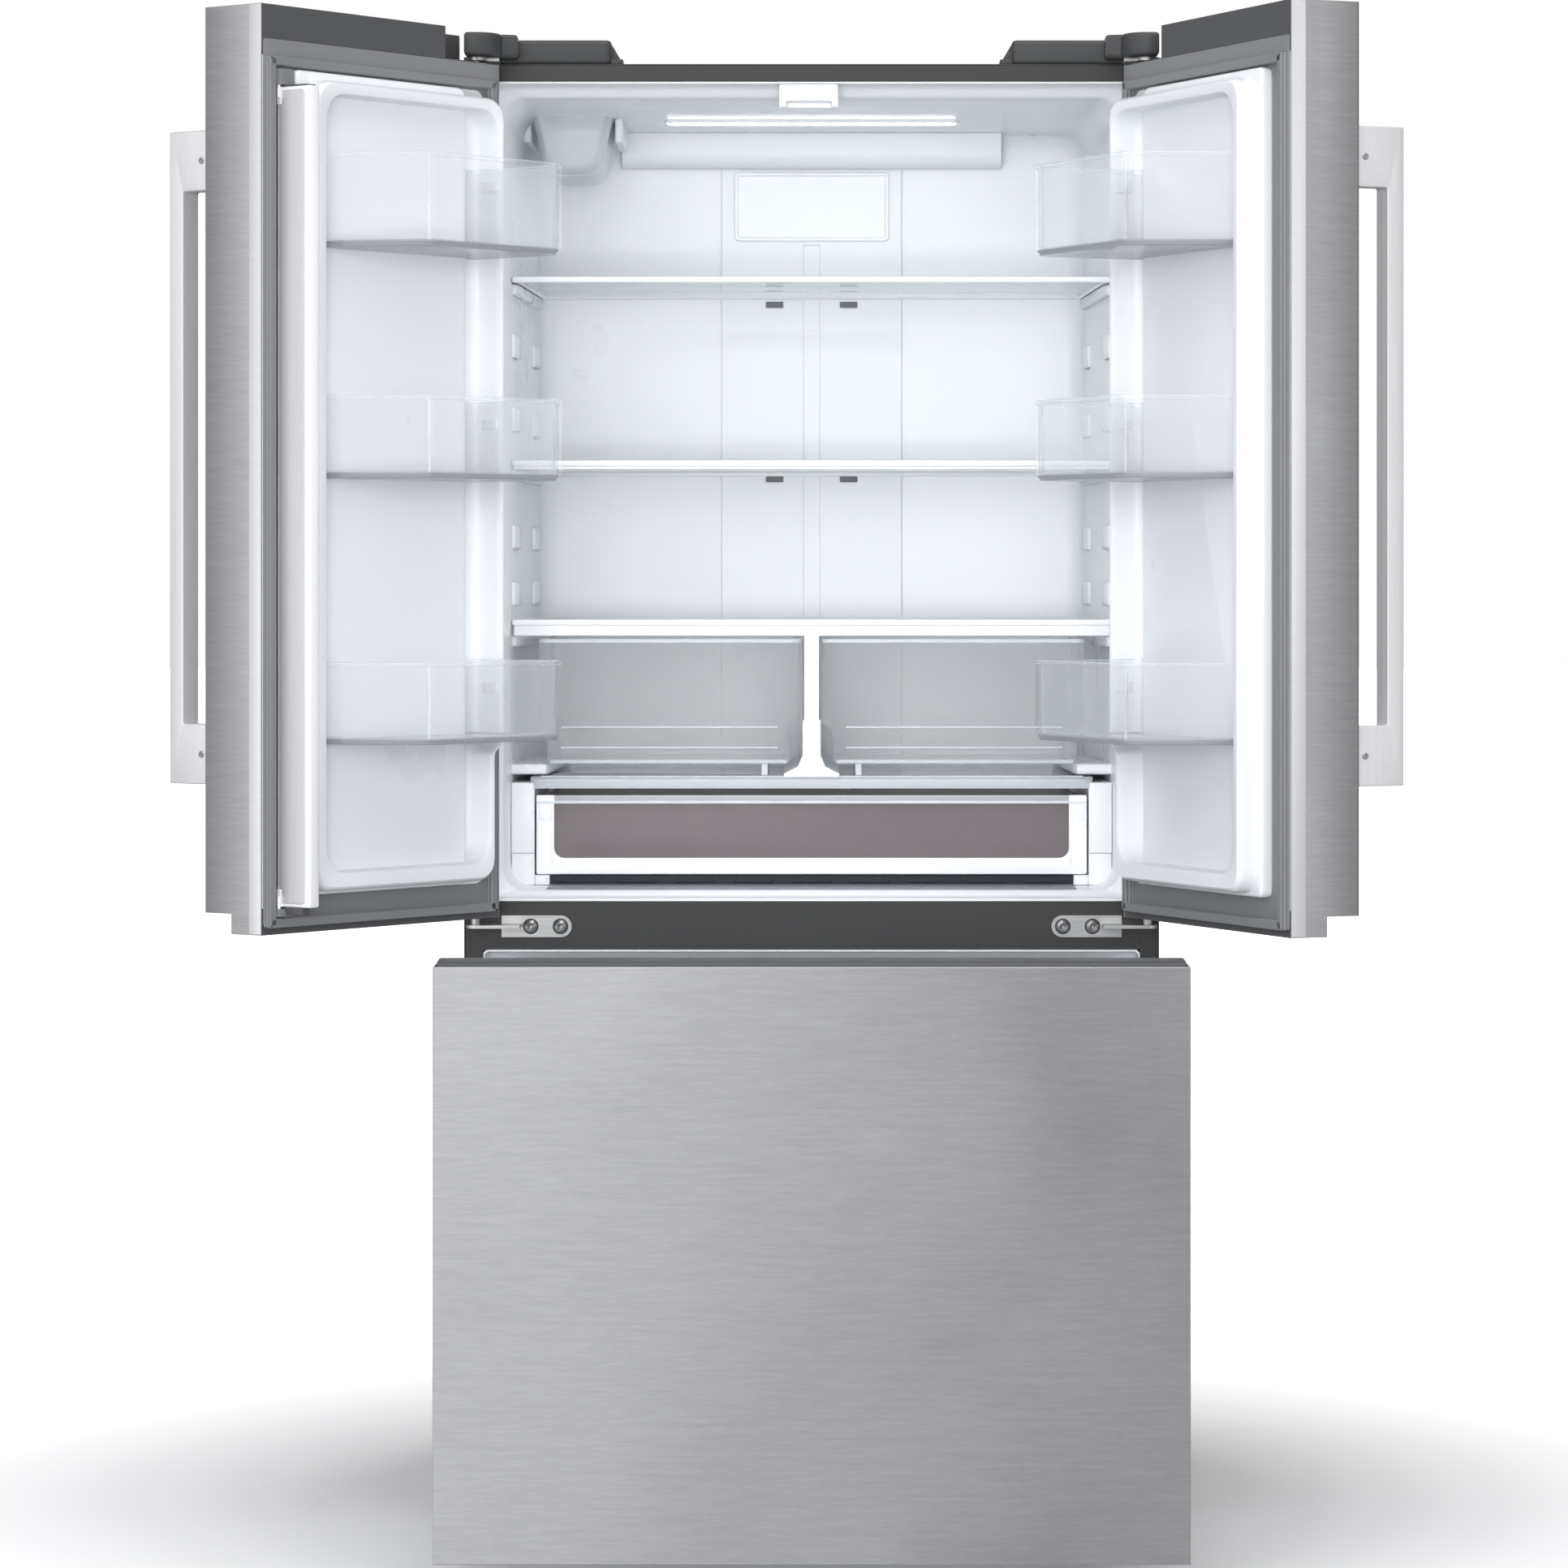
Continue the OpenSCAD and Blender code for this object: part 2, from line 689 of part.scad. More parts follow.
// Top and bottom end caps with the hinge pin bushes
module door_caps()
    color(dark_grey) {
        u0 = sheet;
        u1 = door_w - sheet;
        v0 = -door_t + sheet;
        difference() {
            block([u0, v0, notch_z - 20], [u1, 0, door_z1]);
            block([u0 - 1, notch_v, notch_z], [notch_u, 1, door_z1 + 1]);
            block([notch_u + 3, v0 + 3, notch_z - 21], [u1 - 3, -3, door_z1 - 3]);
            block([u0 + 40, v0 + 3, notch_z - 21], [notch_u + 4, -3, notch_z - 3]);
            translate([hinge_u, hinge_v, notch_z - 16]) cylinder(h = 20, r = pin_r + run_gap);
        }
        difference() {
            union() {
                block([u0, step_v, door_z0], [u1, 0, cap_z0]);
                block([u0, v0, step_z], [u1, step_v + 1, cap_z0]);
            }
            translate([hinge_u, hinge_v, door_z0 - 1]) cylinder(h = 20, r = pin_r + run_gap);
        }
    }

// Flat door liner with a raised dike round a well
module door_dike()
    difference() {
        union() {
            block([sheet, -liner_t, cap_z0], [door_w - sheet, 0, notch_z - 20]);
            along_y(-1, dike_v) round_rect([dike_u[0], dike_z[0]], [dike_u[1], dike_z[1]], 12);
        }
        along_y(0, dike_v + 1) round_rect([well_u[0], well_z[0]], [well_u[1], well_z[1]], 30);
    }

// Thermoformed inner liner, whose dike steps in beside the hinge at the lower end
module door_liner()
    color(white) {
        difference() {
            union() {
                door_dike();
                block([well_u[0] - 1, -1, well_z[0] - 1],
                      [well_u[0] + dike_step[0], dike_v, dike_step[1] + dike_step[0]]);
            }
            block([dike_u[0] - 1, 0, dike_z[0] - 1], [dike_u[0] + dike_step[0], dike_v + 1, dike_step[1]]);
        }
        for (u = [100, 170, 240, 300])
            block([u, -1, well_z[0] + 40], [u + 6, 1.2, well_z[1] - 40]);
    }

module door_foam()
    color(foam)
        block([sheet, -door_t + sheet, cap_z0], [door_w - sheet, -liner_t, notch_z - 20]);

gasket_u = [16.5, 401, 412.5];
gasket_w = 13.5;
gasket_z = [727, 1715];

// Magnetic gasket: a closed ring on the back of the door
module door_gasket()
    color(mid_grey)
        along_y(0, gasket_t - 0.3)
            difference() {
                translate([gasket_u[0], gasket_z[0]])
                    square([gasket_u[2] - gasket_u[0], gasket_z[1] - gasket_z[0]]);
                translate([gasket_u[0] + gasket_w, gasket_z[0] + gasket_w])
                    square([gasket_u[1] - gasket_u[0] - gasket_w, gasket_z[1] - gasket_z[0] - 2 * gasket_w]);
            }

// Flat bar on two solid posts
module door_handle()
    color(handle_grey) {
        v0 = -door_t - handle_out;
        block([handle_u[0], v0, handle_z[0]], [handle_u[1], v0 + handle_t, handle_z[1]]);
        for (z = [handle_z[0], handle_z[1] - handle_post])
            difference() {
                block([handle_u[0], v0 + handle_t - 1, z], [handle_u[1], -door_t, z + handle_post]);
                translate([handle_u[1], -door_t - 10, z + handle_post / 2]) rotate([0, 90, 0])
                    cylinder(h = 12, r = 2.5, center = true);
            }
    }

bin_u = [47, 60, 300, 341];
bin_v = [1.5, 150];
bin_r = 25;
bin_wall = 2.2;
rim_h = 5;

// Plan of a door bin, inset by t, with its back inset by back
module bin_plan(t, back)
    polygon(concat([[bin_u[3] - t, bin_v[0] + back], [bin_u[0] + t, bin_v[0] + back], [bin_u[0] + t, 45]],
                   arc([bin_u[1] + bin_r, bin_v[1] - bin_r], bin_r - t, 175, 90, 5),
                   arc([bin_u[2] - bin_r, bin_v[1] - bin_r], bin_r - t, 90, 26, 4),
                   [[bin_u[3] - t, 55]]));

// Three clear bins that hang in the well
module door_bins()
    color(clear)
        for (b = bin_z)
            difference() {
                union() {
                    translate([0, 0, b[0]]) linear_extrude(b[1] - b[0]) bin_plan(0, 0);
                    translate([0, 0, b[1] - rim_h]) linear_extrude(rim_h) bin_plan(-2, 0);
                }
                translate([0, 0, b[0] + 3]) linear_extrude(b[1] - b[0]) bin_plan(bin_wall, bin_wall);
            }

// Brackets above and below the centre seal, bored for its pins
module mullion_brackets()
    color(dark_grey) on_left()
        for (z = [[742.5, 751], [1682, 1700]])
            difference() {
                block([378, 0, z[0]], [400.7, 17, z[1]]);
                translate([mullion_pivot[0], mullion_pivot[1], z[0] - 1])
                    cylinder(h = z[1] - z[0] + 2, r = mullion_pin_r + run_gap);
            }

// Centre seal folded against the left door
module mullion_body()
    color(white) on_left() {
        block([375, 5, mullion_z[0]], [393.5, 55, mullion_z[1]]);
        for (z = [mullion_z[0] - 9, mullion_z[1] - 20])
            translate([mullion_pivot[0], mullion_pivot[1], z]) cylinder(h = 29, r = mullion_pin_r);
        for (z = [mullion_z[0], mullion_z[1] - 20])
            block([393, 5, z], [395, 13.5, z + 20]);
    }

// Steel face of the centre seal that the gaskets grip
module mullion_face()
    color(mid_grey) on_left()
        block([393.5, 14, mullion_z[0] + 8], [395, 52, mullion_z[1] - 8]);

module left_door_skin() on_left() door_skin();
module left_door_caps() on_left() door_caps();
module left_door_liner() on_left() door_liner();
module left_door_foam() on_left() door_foam();
module left_gasket() on_left() door_gasket();
module left_handle() on_left() door_handle();
module left_bins() on_left() door_bins();
module right_door_skin() on_right() door_skin();
module right_door_caps() on_right() door_caps();
module right_door_liner() on_right() door_liner();
module right_door_foam() on_right() door_foam();
module right_gasket() on_right() door_gasket();
module right_handle() on_right() door_handle();
module right_bins() on_right() door_bins();

// ---- freezer drawer ----------------------------------------------------------

drawer_y0 = door_y - door_t;
grip_z = 676;

// Folded stainless front with a return at each side and at the bottom
module drawer_skin()
    color(stainless) pulled()
        difference() {
            block([-half, drawer_y0, drawer_z0], [half, door_y, drawer_z1]);
            block([-in_half, drawer_y0 + sheet, drawer_z0 + sheet], [in_half, door_y + 1, drawer_z1 + 1]);
        }

// Top cap with the recessed pocket grip behind the front edge
module drawer_cap()
    color(dark_grey) pulled()
        along_x(-in_half, in_half)
            translate([drawer_y0 + sheet, 0])
                polygon([[0, grip_z - 8], [door_t - sheet, grip_z - 8], [door_t - sheet, drawer_z1 + 4],
                         [46, drawer_z1 + 3], [40, drawer_z1], [40, grip_z], [10, grip_z],
                         [6, drawer_z1 - 1], [0, drawer_z1 - 1]]);

dike_x = 344;
drawer_dike_z = [96, 640];
drawer_dike_y = door_y + 26;

// Raised block of the drawer liner, or its core with inset above zero
module drawer_dike(y0, inset)
    along_y(y0, drawer_dike_y - inset)
        round_rect([-dike_x + inset, drawer_dike_z[0] + inset],
                   [dike_x - inset, drawer_dike_z[1] - inset], 20 - inset);

// White inner liner, formed into a shallow raised block
module drawer_liner()
    color(white) pulled()
        difference() {
            union() {
                block([-in_half, door_y - liner_t, drawer_z0 + sheet], [in_half, door_y, grip_z - 8]);
                drawer_dike(door_y - 1, 0);
            }
            drawer_dike(door_y - liner_t - 1, liner_t);
        }

module drawer_foam()
    color(foam) pulled() {
        block([-in_half, drawer_y0 + sheet, drawer_z0 + sheet], [in_half, door_y - liner_t, grip_z - 8]);
        drawer_dike(door_y - liner_t - 1, liner_t);
    }

module drawer_gasket()
    color(mid_grey) pulled()
        along_y(door_y, frame_y - 0.3)
            difference() {
                translate([-410, 46]) square([820, 646]);
                translate([-396, 60]) square([792, 618]);
            }

basket_z = [104, 470];
basket_x = 340;
basket_y = [drawer_dike_y, frame_y + 400];

// Deep basket with slotted sides, carried by the drawer
module freezer_basket()
    color(white) pulled()
        difference() {
            union() {
                block([-basket_x, basket_y[0], basket_z[0]], [basket_x, basket_y[1], basket_z[1]]);
                block([-basket_x - 8, basket_y[0], basket_z[1] - 6], [basket_x + 8, basket_y[1], basket_z[1]]);
            }
            block([-basket_x + 3, basket_y[0] + 3, basket_z[0] + 3], [basket_x - 3, basket_y[1] - 3, basket_z[1] + 1]);
            for (k = [0:7])
                block([-basket_x - 1, basket_y[0] + 45 + 44 * k, 180], [basket_x + 1, basket_y[0] + 57 + 44 * k, 400]);
        }

slide_z = [288, 332];
slide_y = [frame_y + 66, frame_y + 430];

// Fixed outer members of the drawer slides
module freezer_rails()
    color(steel) both_sides()
        difference() {
            block([-frz_x + 0.1, slide_y[0], slide_z[0]], [-frz_x + 13, slide_y[1], slide_z[1]]);
            block([-frz_x + 2, slide_y[0] - 1, slide_z[0] + 2], [-frz_x + 14, slide_y[1] + 1, slide_z[1] - 2]);
        }

// Middle members, which travel half as far as the drawer
module slide_members()
    color(steel) both_sides() pulled(0.5)
        difference() {
            block([-frz_x + 2.4, slide_y[0], slide_z[0] + 2.4], [-frz_x + 15, slide_y[1], slide_z[1] - 2.4]);
            block([-frz_x + 4.4, slide_y[0] - 1, slide_z[0] + 4.4], [-frz_x + 16, slide_y[1] + 1, slide_z[1] - 4.4]);
        }

// Inner members, screwed to the drawer and joined by two cross bars under the basket
module drawer_runners()
    color(steel) pulled() {
        both_sides() {
            block([-frz_x + 4.8, door_y, slide_z[0] + 4.8], [-frz_x + 17, slide_y[1], slide_z[1] - 4.8]);
            for (y = [basket_y[0] + 60, basket_y[1] - 80])
                block([-frz_x + 16, y, basket_z[0] - 4], [-frz_x + 20, y + 30, slide_z[1] - 4.8]);
        }
        for (y = [basket_y[0] + 60, basket_y[1] - 80])
            block([-frz_x + 16, y, basket_z[0] - 4], [frz_x - 16, y + 30, basket_z[0]]);
    }

// Shallow upper tray that slides on the freezer liner's ledges
module freezer_tray()
    color(white)
        difference() {
            union() {
                block([-346, frame_y + 24, tray_z[0]], [346, frame_y + 468, tray_z[1]]);
                block([-366, frame_y + 24, tray_ledge_z + 0.4], [366, frame_y + 468, tray_ledge_z + 5]);
            }
            block([-343, frame_y + 27, tray_z[0] + 3], [343, frame_y + 465, tray_z[1] + 1]);
        }

// ---- cooling system -----------------------------------------------------------

evap_y = [frame_y + 500, frame_y + 548];
fan_shaft_r = 3;

// Fan wheel on the Z axis with a bored hub
module fan(r, hub_r, h)
    difference() {
        union() {
            cylinder(h = h, r = hub_r, center = true);
            for (k = [0:6])
                rotate([0, 0, 360 / 7 * k]) translate([hub_r - 2, 0, 0]) rotate([32, 0, 0])
                    translate([0, -h * 0.55, -0.8]) cube([r - hub_r + 2, h * 1.1, 1.6]);
        }
        cylinder(h = h + 2, r = fan_shaft_r + run_gap, center = true);
    }

// Finned coil: plates along X threaded on tubes
module finned_coil(x0, x1, y0, y1, z0, z1, fins, rows) {
    pitch = (x1 - x0) / (fins - 1);
    for (k = [0:fins - 1])
        block([x0 + pitch * k - 0.5, y0, z0], [x0 + pitch * k + 0.5, y1, z1]);
    for (k = [0:rows - 1])
        translate([x0 - 8, (y0 + y1) / 2, z0 + (z1 - z0) * (k + 0.5) / rows]) rotate([0, 90, 0])
            cylinder(h = x1 - x0 + 16, r = 4);
}

evap_fan_z = 606;

// Evaporator coil and the fan motor above it, behind the freezer's back cover
module evaporator()
    color(steel) {
        finned_coil(-250, 250, evap_y[0], evap_y[1], 345, 520, 26, 6);
        translate([0, frame_y + frz_d, evap_fan_z]) rotate([90, 0, 0]) {
            cylinder(h = 26, r = 22);
            cylinder(h = 58, r = fan_shaft_r);
        }
    }

module evaporator_fan()
    color(black)
        translate([0, frame_y + frz_d - 44, evap_fan_z]) rotate([90, 0, 0]) fan(50, 16, 22);

// Inner back cover of the freezer with a round outlet and a return slot
module freezer_back_cover()
    color(white)
        difference() {
            block([-frz_x + 0.3, frame_y + 486, frz_step_z], [frz_x - 0.3, frame_y + 489, frz_z1]);
            for (k = [0:5])
                block([-45, frame_y + 485, 562 + 16 * k], [45, frame_y + 490, 570 + 16 * k]);
            for (x = [-240, -80, 80])
                block([x, frame_y + 485, 345], [x + 160 - 20, frame_y + 490, 357]);
        }

// Hermetic compressor on its mounting plate
module compressor()
    color(black)
        translate([-230, 580, case_z + 2]) {
            block([-95, -70, 12], [95, 70, 15]);
            for (x = [-80, 80], y = [-55, 55])
                translate([x, y, 0]) cylinder(h = 12, r = 11);
            translate([0, 0, 15]) rotate_extrude()
                polygon(concat([[0, 0], [60, 0], [68, 10], [72, 60]],
                               arc([0, 90], 70, 0, 90, 12), [[0, 160]]));
        }

cond_fan = [-20, 580, 160];

// Condenser coil with the shroud and motor of its fan
module condenser()
    color(steel) {
        finned_coil(50, 300, 540, 620, 60, 260, 26, 6);
        difference() {
            block([0, 510, 60], [3, 650, 260]);
            translate([-1, cond_fan[1], cond_fan[2]]) rotate([0, 90, 0]) cylinder(h = 6, r = 66);
        }
        block([0, 510, case_z + 2], [3, 650, 61]);
        block([3, cond_fan[1] - 8, case_z + 2], [20, cond_fan[1] + 8, cond_fan[2]]);
        translate([3, cond_fan[1], cond_fan[2]]) rotate([0, 90, 0]) cylinder(h = 24, r = 24);
        translate([-36, cond_fan[1], cond_fan[2]]) rotate([0, 90, 0])
            cylinder(h = 40, r = fan_shaft_r);
        for (x = [80, 270])
            block([x - 6, 560, case_z + 2], [x + 6, 600, 61]);
    }

module condenser_fan()
    color(black) translate(cond_fan) rotate([0, 90, 0]) fan(60, 18, 24);

// ---- output ------------------------------------------------------------------

outer_case();
rear_panels();
base_pan();
front_frame();
mid_rail();
fridge_liner();
freezer_liner();
case_foam();
air_duct();
airflow_panel();
lamp_lens();
filter_housing();
mullion_guide();
shelf_glass();
shelf_frames();
crisper_rail();
deli_lid();
deli_rails();
hinge_covers();
hinge_plates();
hinge_screws();
levelling_feet();
compressor();
condenser();
evaporator();
freezer_back_cover();
freezer_rails();
left_crisper();
right_crisper();
deli_drawer();
deli_front();
evaporator_fan();
condenser_fan();
rear_rollers();
slide_members();
freezer_tray();
left_door_skin();
left_door_caps();
left_door_liner();
left_door_foam();
left_gasket();
left_handle();
left_bins();
right_door_skin();
right_door_caps();
right_door_liner();
right_door_foam();
right_gasket();
right_handle();
right_bins();
mullion_brackets();
mullion_body();
mullion_face();
drawer_skin();
drawer_cap();
drawer_liner();
drawer_foam();
drawer_gasket();
freezer_basket();
drawer_runners();
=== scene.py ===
import bmesh
import bpy
import json
import math
from mathutils import Matrix, Vector


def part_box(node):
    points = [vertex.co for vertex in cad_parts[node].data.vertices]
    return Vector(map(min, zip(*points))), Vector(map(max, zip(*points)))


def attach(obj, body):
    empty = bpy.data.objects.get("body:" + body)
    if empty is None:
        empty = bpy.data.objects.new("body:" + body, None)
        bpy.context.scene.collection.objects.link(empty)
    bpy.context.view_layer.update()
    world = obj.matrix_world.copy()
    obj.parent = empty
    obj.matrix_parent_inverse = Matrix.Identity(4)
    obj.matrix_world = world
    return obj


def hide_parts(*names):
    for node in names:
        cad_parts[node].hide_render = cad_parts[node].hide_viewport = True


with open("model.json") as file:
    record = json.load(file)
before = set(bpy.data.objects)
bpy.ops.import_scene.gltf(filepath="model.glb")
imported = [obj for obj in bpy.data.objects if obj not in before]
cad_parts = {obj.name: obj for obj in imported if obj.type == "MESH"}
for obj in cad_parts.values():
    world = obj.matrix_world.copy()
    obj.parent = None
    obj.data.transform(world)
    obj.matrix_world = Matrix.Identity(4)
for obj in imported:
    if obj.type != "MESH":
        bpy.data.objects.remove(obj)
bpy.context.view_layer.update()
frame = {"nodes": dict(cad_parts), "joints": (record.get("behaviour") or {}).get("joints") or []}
scene = bpy.context.scene

# Camera. It stands well back and a little below the door tops, level, so that the uprights
# stay upright; the lens shift brings the lower drawer into the frame.
frame_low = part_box("front_frame")[0]
camera = bpy.data.objects.new("camera", bpy.data.cameras.new("camera"))
camera.data.lens = 122.76
camera.data.shift_x = -0.0176
camera.data.shift_y = -0.1315
camera.location = (0, frame_low.y - 6.4, 1.125)
camera.rotation_euler = (math.radians(90), 0, 0)
scene.collection.objects.link(camera)
scene.camera = camera


# Floor, background and lights. A plain pale studio floor runs out into a white background, lit
# by soft boxes in front, above, behind and on both sides. The surroundings are brightest at the
# front left and dark towards the ground, so the steel fronts shade off downwards.
def place(tree, kind, inputs=None, **settings):
    """A new shader node. An input is a number, a colour or another node's output."""
    made = tree.nodes.new(kind)
    for name, value in settings.items():
        setattr(made, name, value)
    for name, value in (inputs or {}).items():
        if isinstance(value, bpy.types.NodeSocket):
            tree.links.new(value, made.inputs[name])
        else:
            made.inputs[name].default_value = value
    return made


def start_material(name, **plain):
    """A material, its tree and its shader, with the shader's uniform numbers set."""
    made = bpy.data.materials.new(name)
    made.use_nodes = True
    shader = made.node_tree.nodes["Principled BSDF"]
    for socket, value in plain.items():
        shader.inputs[socket.replace("_", " ").title().replace("Ior", "IOR")].default_value = value
    return made, made.node_tree, shader


floor_size = 60
floor_mesh = bpy.data.meshes.new("floor")
floor_mesh.from_pydata([(-floor_size, -floor_size, 0), (floor_size, -floor_size, 0),
                        (floor_size, floor_size, 0), (-floor_size, floor_size, 0)], [], [(0, 1, 2, 3)])
floor = bpy.data.objects.new("floor", floor_mesh)
scene.collection.objects.link(floor)
floor_paint, tree, shader = start_material("floor_paint", roughness=0.7)
mottle = place(tree, "ShaderNodeTexNoise", {"Scale": 3.0, "Detail": 4.0})
tone = place(tree, "ShaderNodeMixRGB", {"Fac": mottle.outputs["Fac"], "Color1": (0.9, 0.9, 0.91, 1),
                                        "Color2": (0.93, 0.93, 0.93, 1)})
spread_out = place(tree, "ShaderNodeTexCoord")
reach = place(tree, "ShaderNodeVectorMath", {0: spread_out.outputs["Object"]}, operation="LENGTH")
fade = place(tree, "ShaderNodeMapRange", {"Value": reach.outputs["Value"], "From Min": 0.6,
                                          "From Max": 2.0})
glow = place(tree, "ShaderNodeMixRGB", {"Fac": fade.outputs["Result"], "Color1": (0, 0, 0, 1),
                                        "Color2": (1, 1, 1, 1)})
tree.links.new(tone.outputs["Color"], shader.inputs["Base Color"])
tree.links.new(glow.outputs["Color"], shader.inputs["Emission Color"])
shader.inputs["Emission Strength"].default_value = 1.0
floor_mesh.materials.append(floor_paint)
floor.visible_glossy = False
floor.visible_diffuse = False

world = bpy.data.worlds.new("studio")
scene.world = world
world.use_nodes = True
tree = world.node_tree
sky = place(tree, "ShaderNodeTexCoord")
heading = place(tree, "ShaderNodeSeparateXYZ", {"Vector": sky.outputs["Generated"]})
rise = place(tree, "ShaderNodeMapRange", {"Value": heading.outputs["Z"], "From Min": -0.42,
                                          "From Max": -0.18,
                                          "To Min": 0.02, "To Max": 1.0}, interpolation_type="SMOOTHSTEP")
ahead = place(tree, "ShaderNodeMapRange", {"Value": heading.outputs["Y"], "From Min": -1.0, "From Max": 0.2,
                                           "To Min": 1.55, "To Max": 0.3})
slant = place(tree, "ShaderNodeMath", {0: heading.outputs["Z"], 1: -0.6, 2: heading.outputs["X"]},
              operation="MULTIPLY_ADD")
turn = place(tree, "ShaderNodeMapRange", {"Value": slant.outputs[0], "From Min": -1.0, "From Max": 1.0})
left = place(tree, "ShaderNodeValToRGB", {"Fac": turn.outputs["Result"]})
stops = left.color_ramp.elements
for stop, (x, bright) in zip((stops[0], stops[1]), ((0.475, 1.0), (0.97, 0.40))):
    stop.position, stop.color = x, (bright, bright, bright, 1)
for x, bright in ((0.555, 0.02), (0.69, 0.22), (0.83, 0.90), (0.90, 0.55)):
    stops.new(x).color = (bright, bright, bright, 1)
toned = place(tree, "ShaderNodeMath", {0: rise.outputs["Result"], 1: left.outputs["Color"]},
              operation="MULTIPLY")
below = place(tree, "ShaderNodeMapRange", {"Value": heading.outputs["Z"], "From Min": -0.30,
                                           "From Max": -0.42,
                                           "To Min": 0.0, "To Max": 0.42}, interpolation_type="SMOOTHSTEP")
shine = place(tree, "ShaderNodeMath", {0: toned.outputs[0], 1: ahead.outputs["Result"]},
              operation="MULTIPLY")
lifted = place(tree, "ShaderNodeMath", {0: shine.outputs[0], 1: below.outputs["Result"]}, operation="ADD")
lighting = place(tree, "ShaderNodeBackground", {"Color": (0.97, 0.98, 1.0, 1),
                                                "Strength": lifted.outputs[0]})
backdrop = place(tree, "ShaderNodeBackground", {"Color": (1, 1, 1, 1), "Strength": 1.0})
ray = place(tree, "ShaderNodeLightPath")
seen = place(tree, "ShaderNodeMixShader", {0: ray.outputs["Is Camera Ray"], 1: lighting.outputs[0],
                                           2: backdrop.outputs[0]})
tree.links.new(seen.outputs[0], tree.nodes["World Output"].inputs["Surface"])
scene.view_settings.view_transform = "Standard"


def soft_box(name, at, towards, size, power):
    light = bpy.data.objects.new(name, bpy.data.lights.new(name, "AREA"))
    light.data.shape = "RECTANGLE"
    light.data.size, light.data.size_y = size
    light.data.energy = power
    light.location = at
    light.rotation_euler = (Vector(towards) - Vector(at)).to_track_quat("-Z", "Y").to_euler()
    scene.collection.objects.link(light)
    return light


middle = Vector((0, 0, 1.0))
for name, at, towards, size, power in (
        ("front_light", (-0.3, -6.2, 1.5), middle, (2.6, 1.8), 106),
        ("near_light", (0, -1.6, 1.2), (0, 0.5, 1.2), (0.5, 1.0), 1.3),
        ("low_light", (0, -4.0, 1.0), (0, 0.0, 0.67), (2.0, 0.22), 26),
        ("top_light", (0.4, -1.2, 4.2), middle, (3.0, 2.0), 35),
        ("left_light", (-4.6, 0.6, 1.8), middle, (1.6, 2.6), 16),
        ("right_light", (4.2, -3.3, 1.5), middle, (1.4, 2.8), 16),
        ("rear_light", (0.5, 5.0, 2.8), middle, (3.0, 2.4), 60)):
    light = soft_box(name, at, towards, size, power)
    light.visible_camera = False
    light.data.spread = math.radians(60 if name == "near_light" else 180)
    light.visible_glossy = name in ("top_light", "rear_light")


# Cabinet wrapper, front frame and middle rail. The sides and top are one bent sheet of dark
# painted steel, the frame and rail are folded sheet welded in behind the gaskets.
def group_of(name, inputs, outputs):
    """An empty shader node group, with its input and output nodes."""
    made = bpy.data.node_groups.new(name, "ShaderNodeTree")
    for socket, (kind, value) in inputs.items():
        made.interface.new_socket(socket, in_out="INPUT", socket_type=kind).default_value = value
    for socket in outputs:
        made.interface.new_socket(socket, in_out="OUTPUT", socket_type="NodeSocketFloat")
    return made, made.nodes.new("NodeGroupInput"), made.nodes.new("NodeGroupOutput")


NUMBER = "NodeSocketFloat"
edge_wear, given, result = group_of("edge_wear", {"Radius": (NUMBER, 0.002), "Strength": (NUMBER, 1.0)},
                                    ["Mask"])
rounded = place(edge_wear, "ShaderNodeBevel", {"Radius": given.outputs["Radius"]}, samples=4)
flat = place(edge_wear, "ShaderNodeNewGeometry")
likeness = place(edge_wear, "ShaderNodeVectorMath",
                 {0: rounded.outputs["Normal"], 1: flat.outputs["Normal"]},
                 operation="DOT_PRODUCT")
turned = place(edge_wear, "ShaderNodeMapRange", {"Value": likeness.outputs["Value"], "From Min": 0.995,
                                                 "From Max": 0.8, "To Max": given.outputs["Strength"]})
spots = place(edge_wear, "ShaderNodeTexCoord")
patches = place(edge_wear, "ShaderNodeTexNoise", {"Vector": spots.outputs["Object"], "Scale": 38.0,
                                                  "Detail": 3.0})
worn = place(edge_wear, "ShaderNodeMath", {0: turned.outputs["Result"], 1: patches.outputs["Fac"]},
             operation="MULTIPLY")
edge_wear.links.new(worn.outputs[0], result.inputs["Mask"])

fine_grain, given, result = group_of("fine_grain", {"Scale": (NUMBER, 900.0)}, ["Height", "Cloud"])
where = place(fine_grain, "ShaderNodeTexCoord")
peel = place(fine_grain, "ShaderNodeTexNoise", {"Vector": where.outputs["Object"],
                                                "Scale": given.outputs["Scale"], "Detail": 2.0})
cloud = place(fine_grain, "ShaderNodeTexNoise", {"Vector": where.outputs["Object"], "Scale": 5.0,
                                                 "Detail": 5.0})
fine_grain.links.new(peel.outputs["Fac"], result.inputs["Height"])
fine_grain.links.new(cloud.outputs["Fac"], result.inputs["Cloud"])


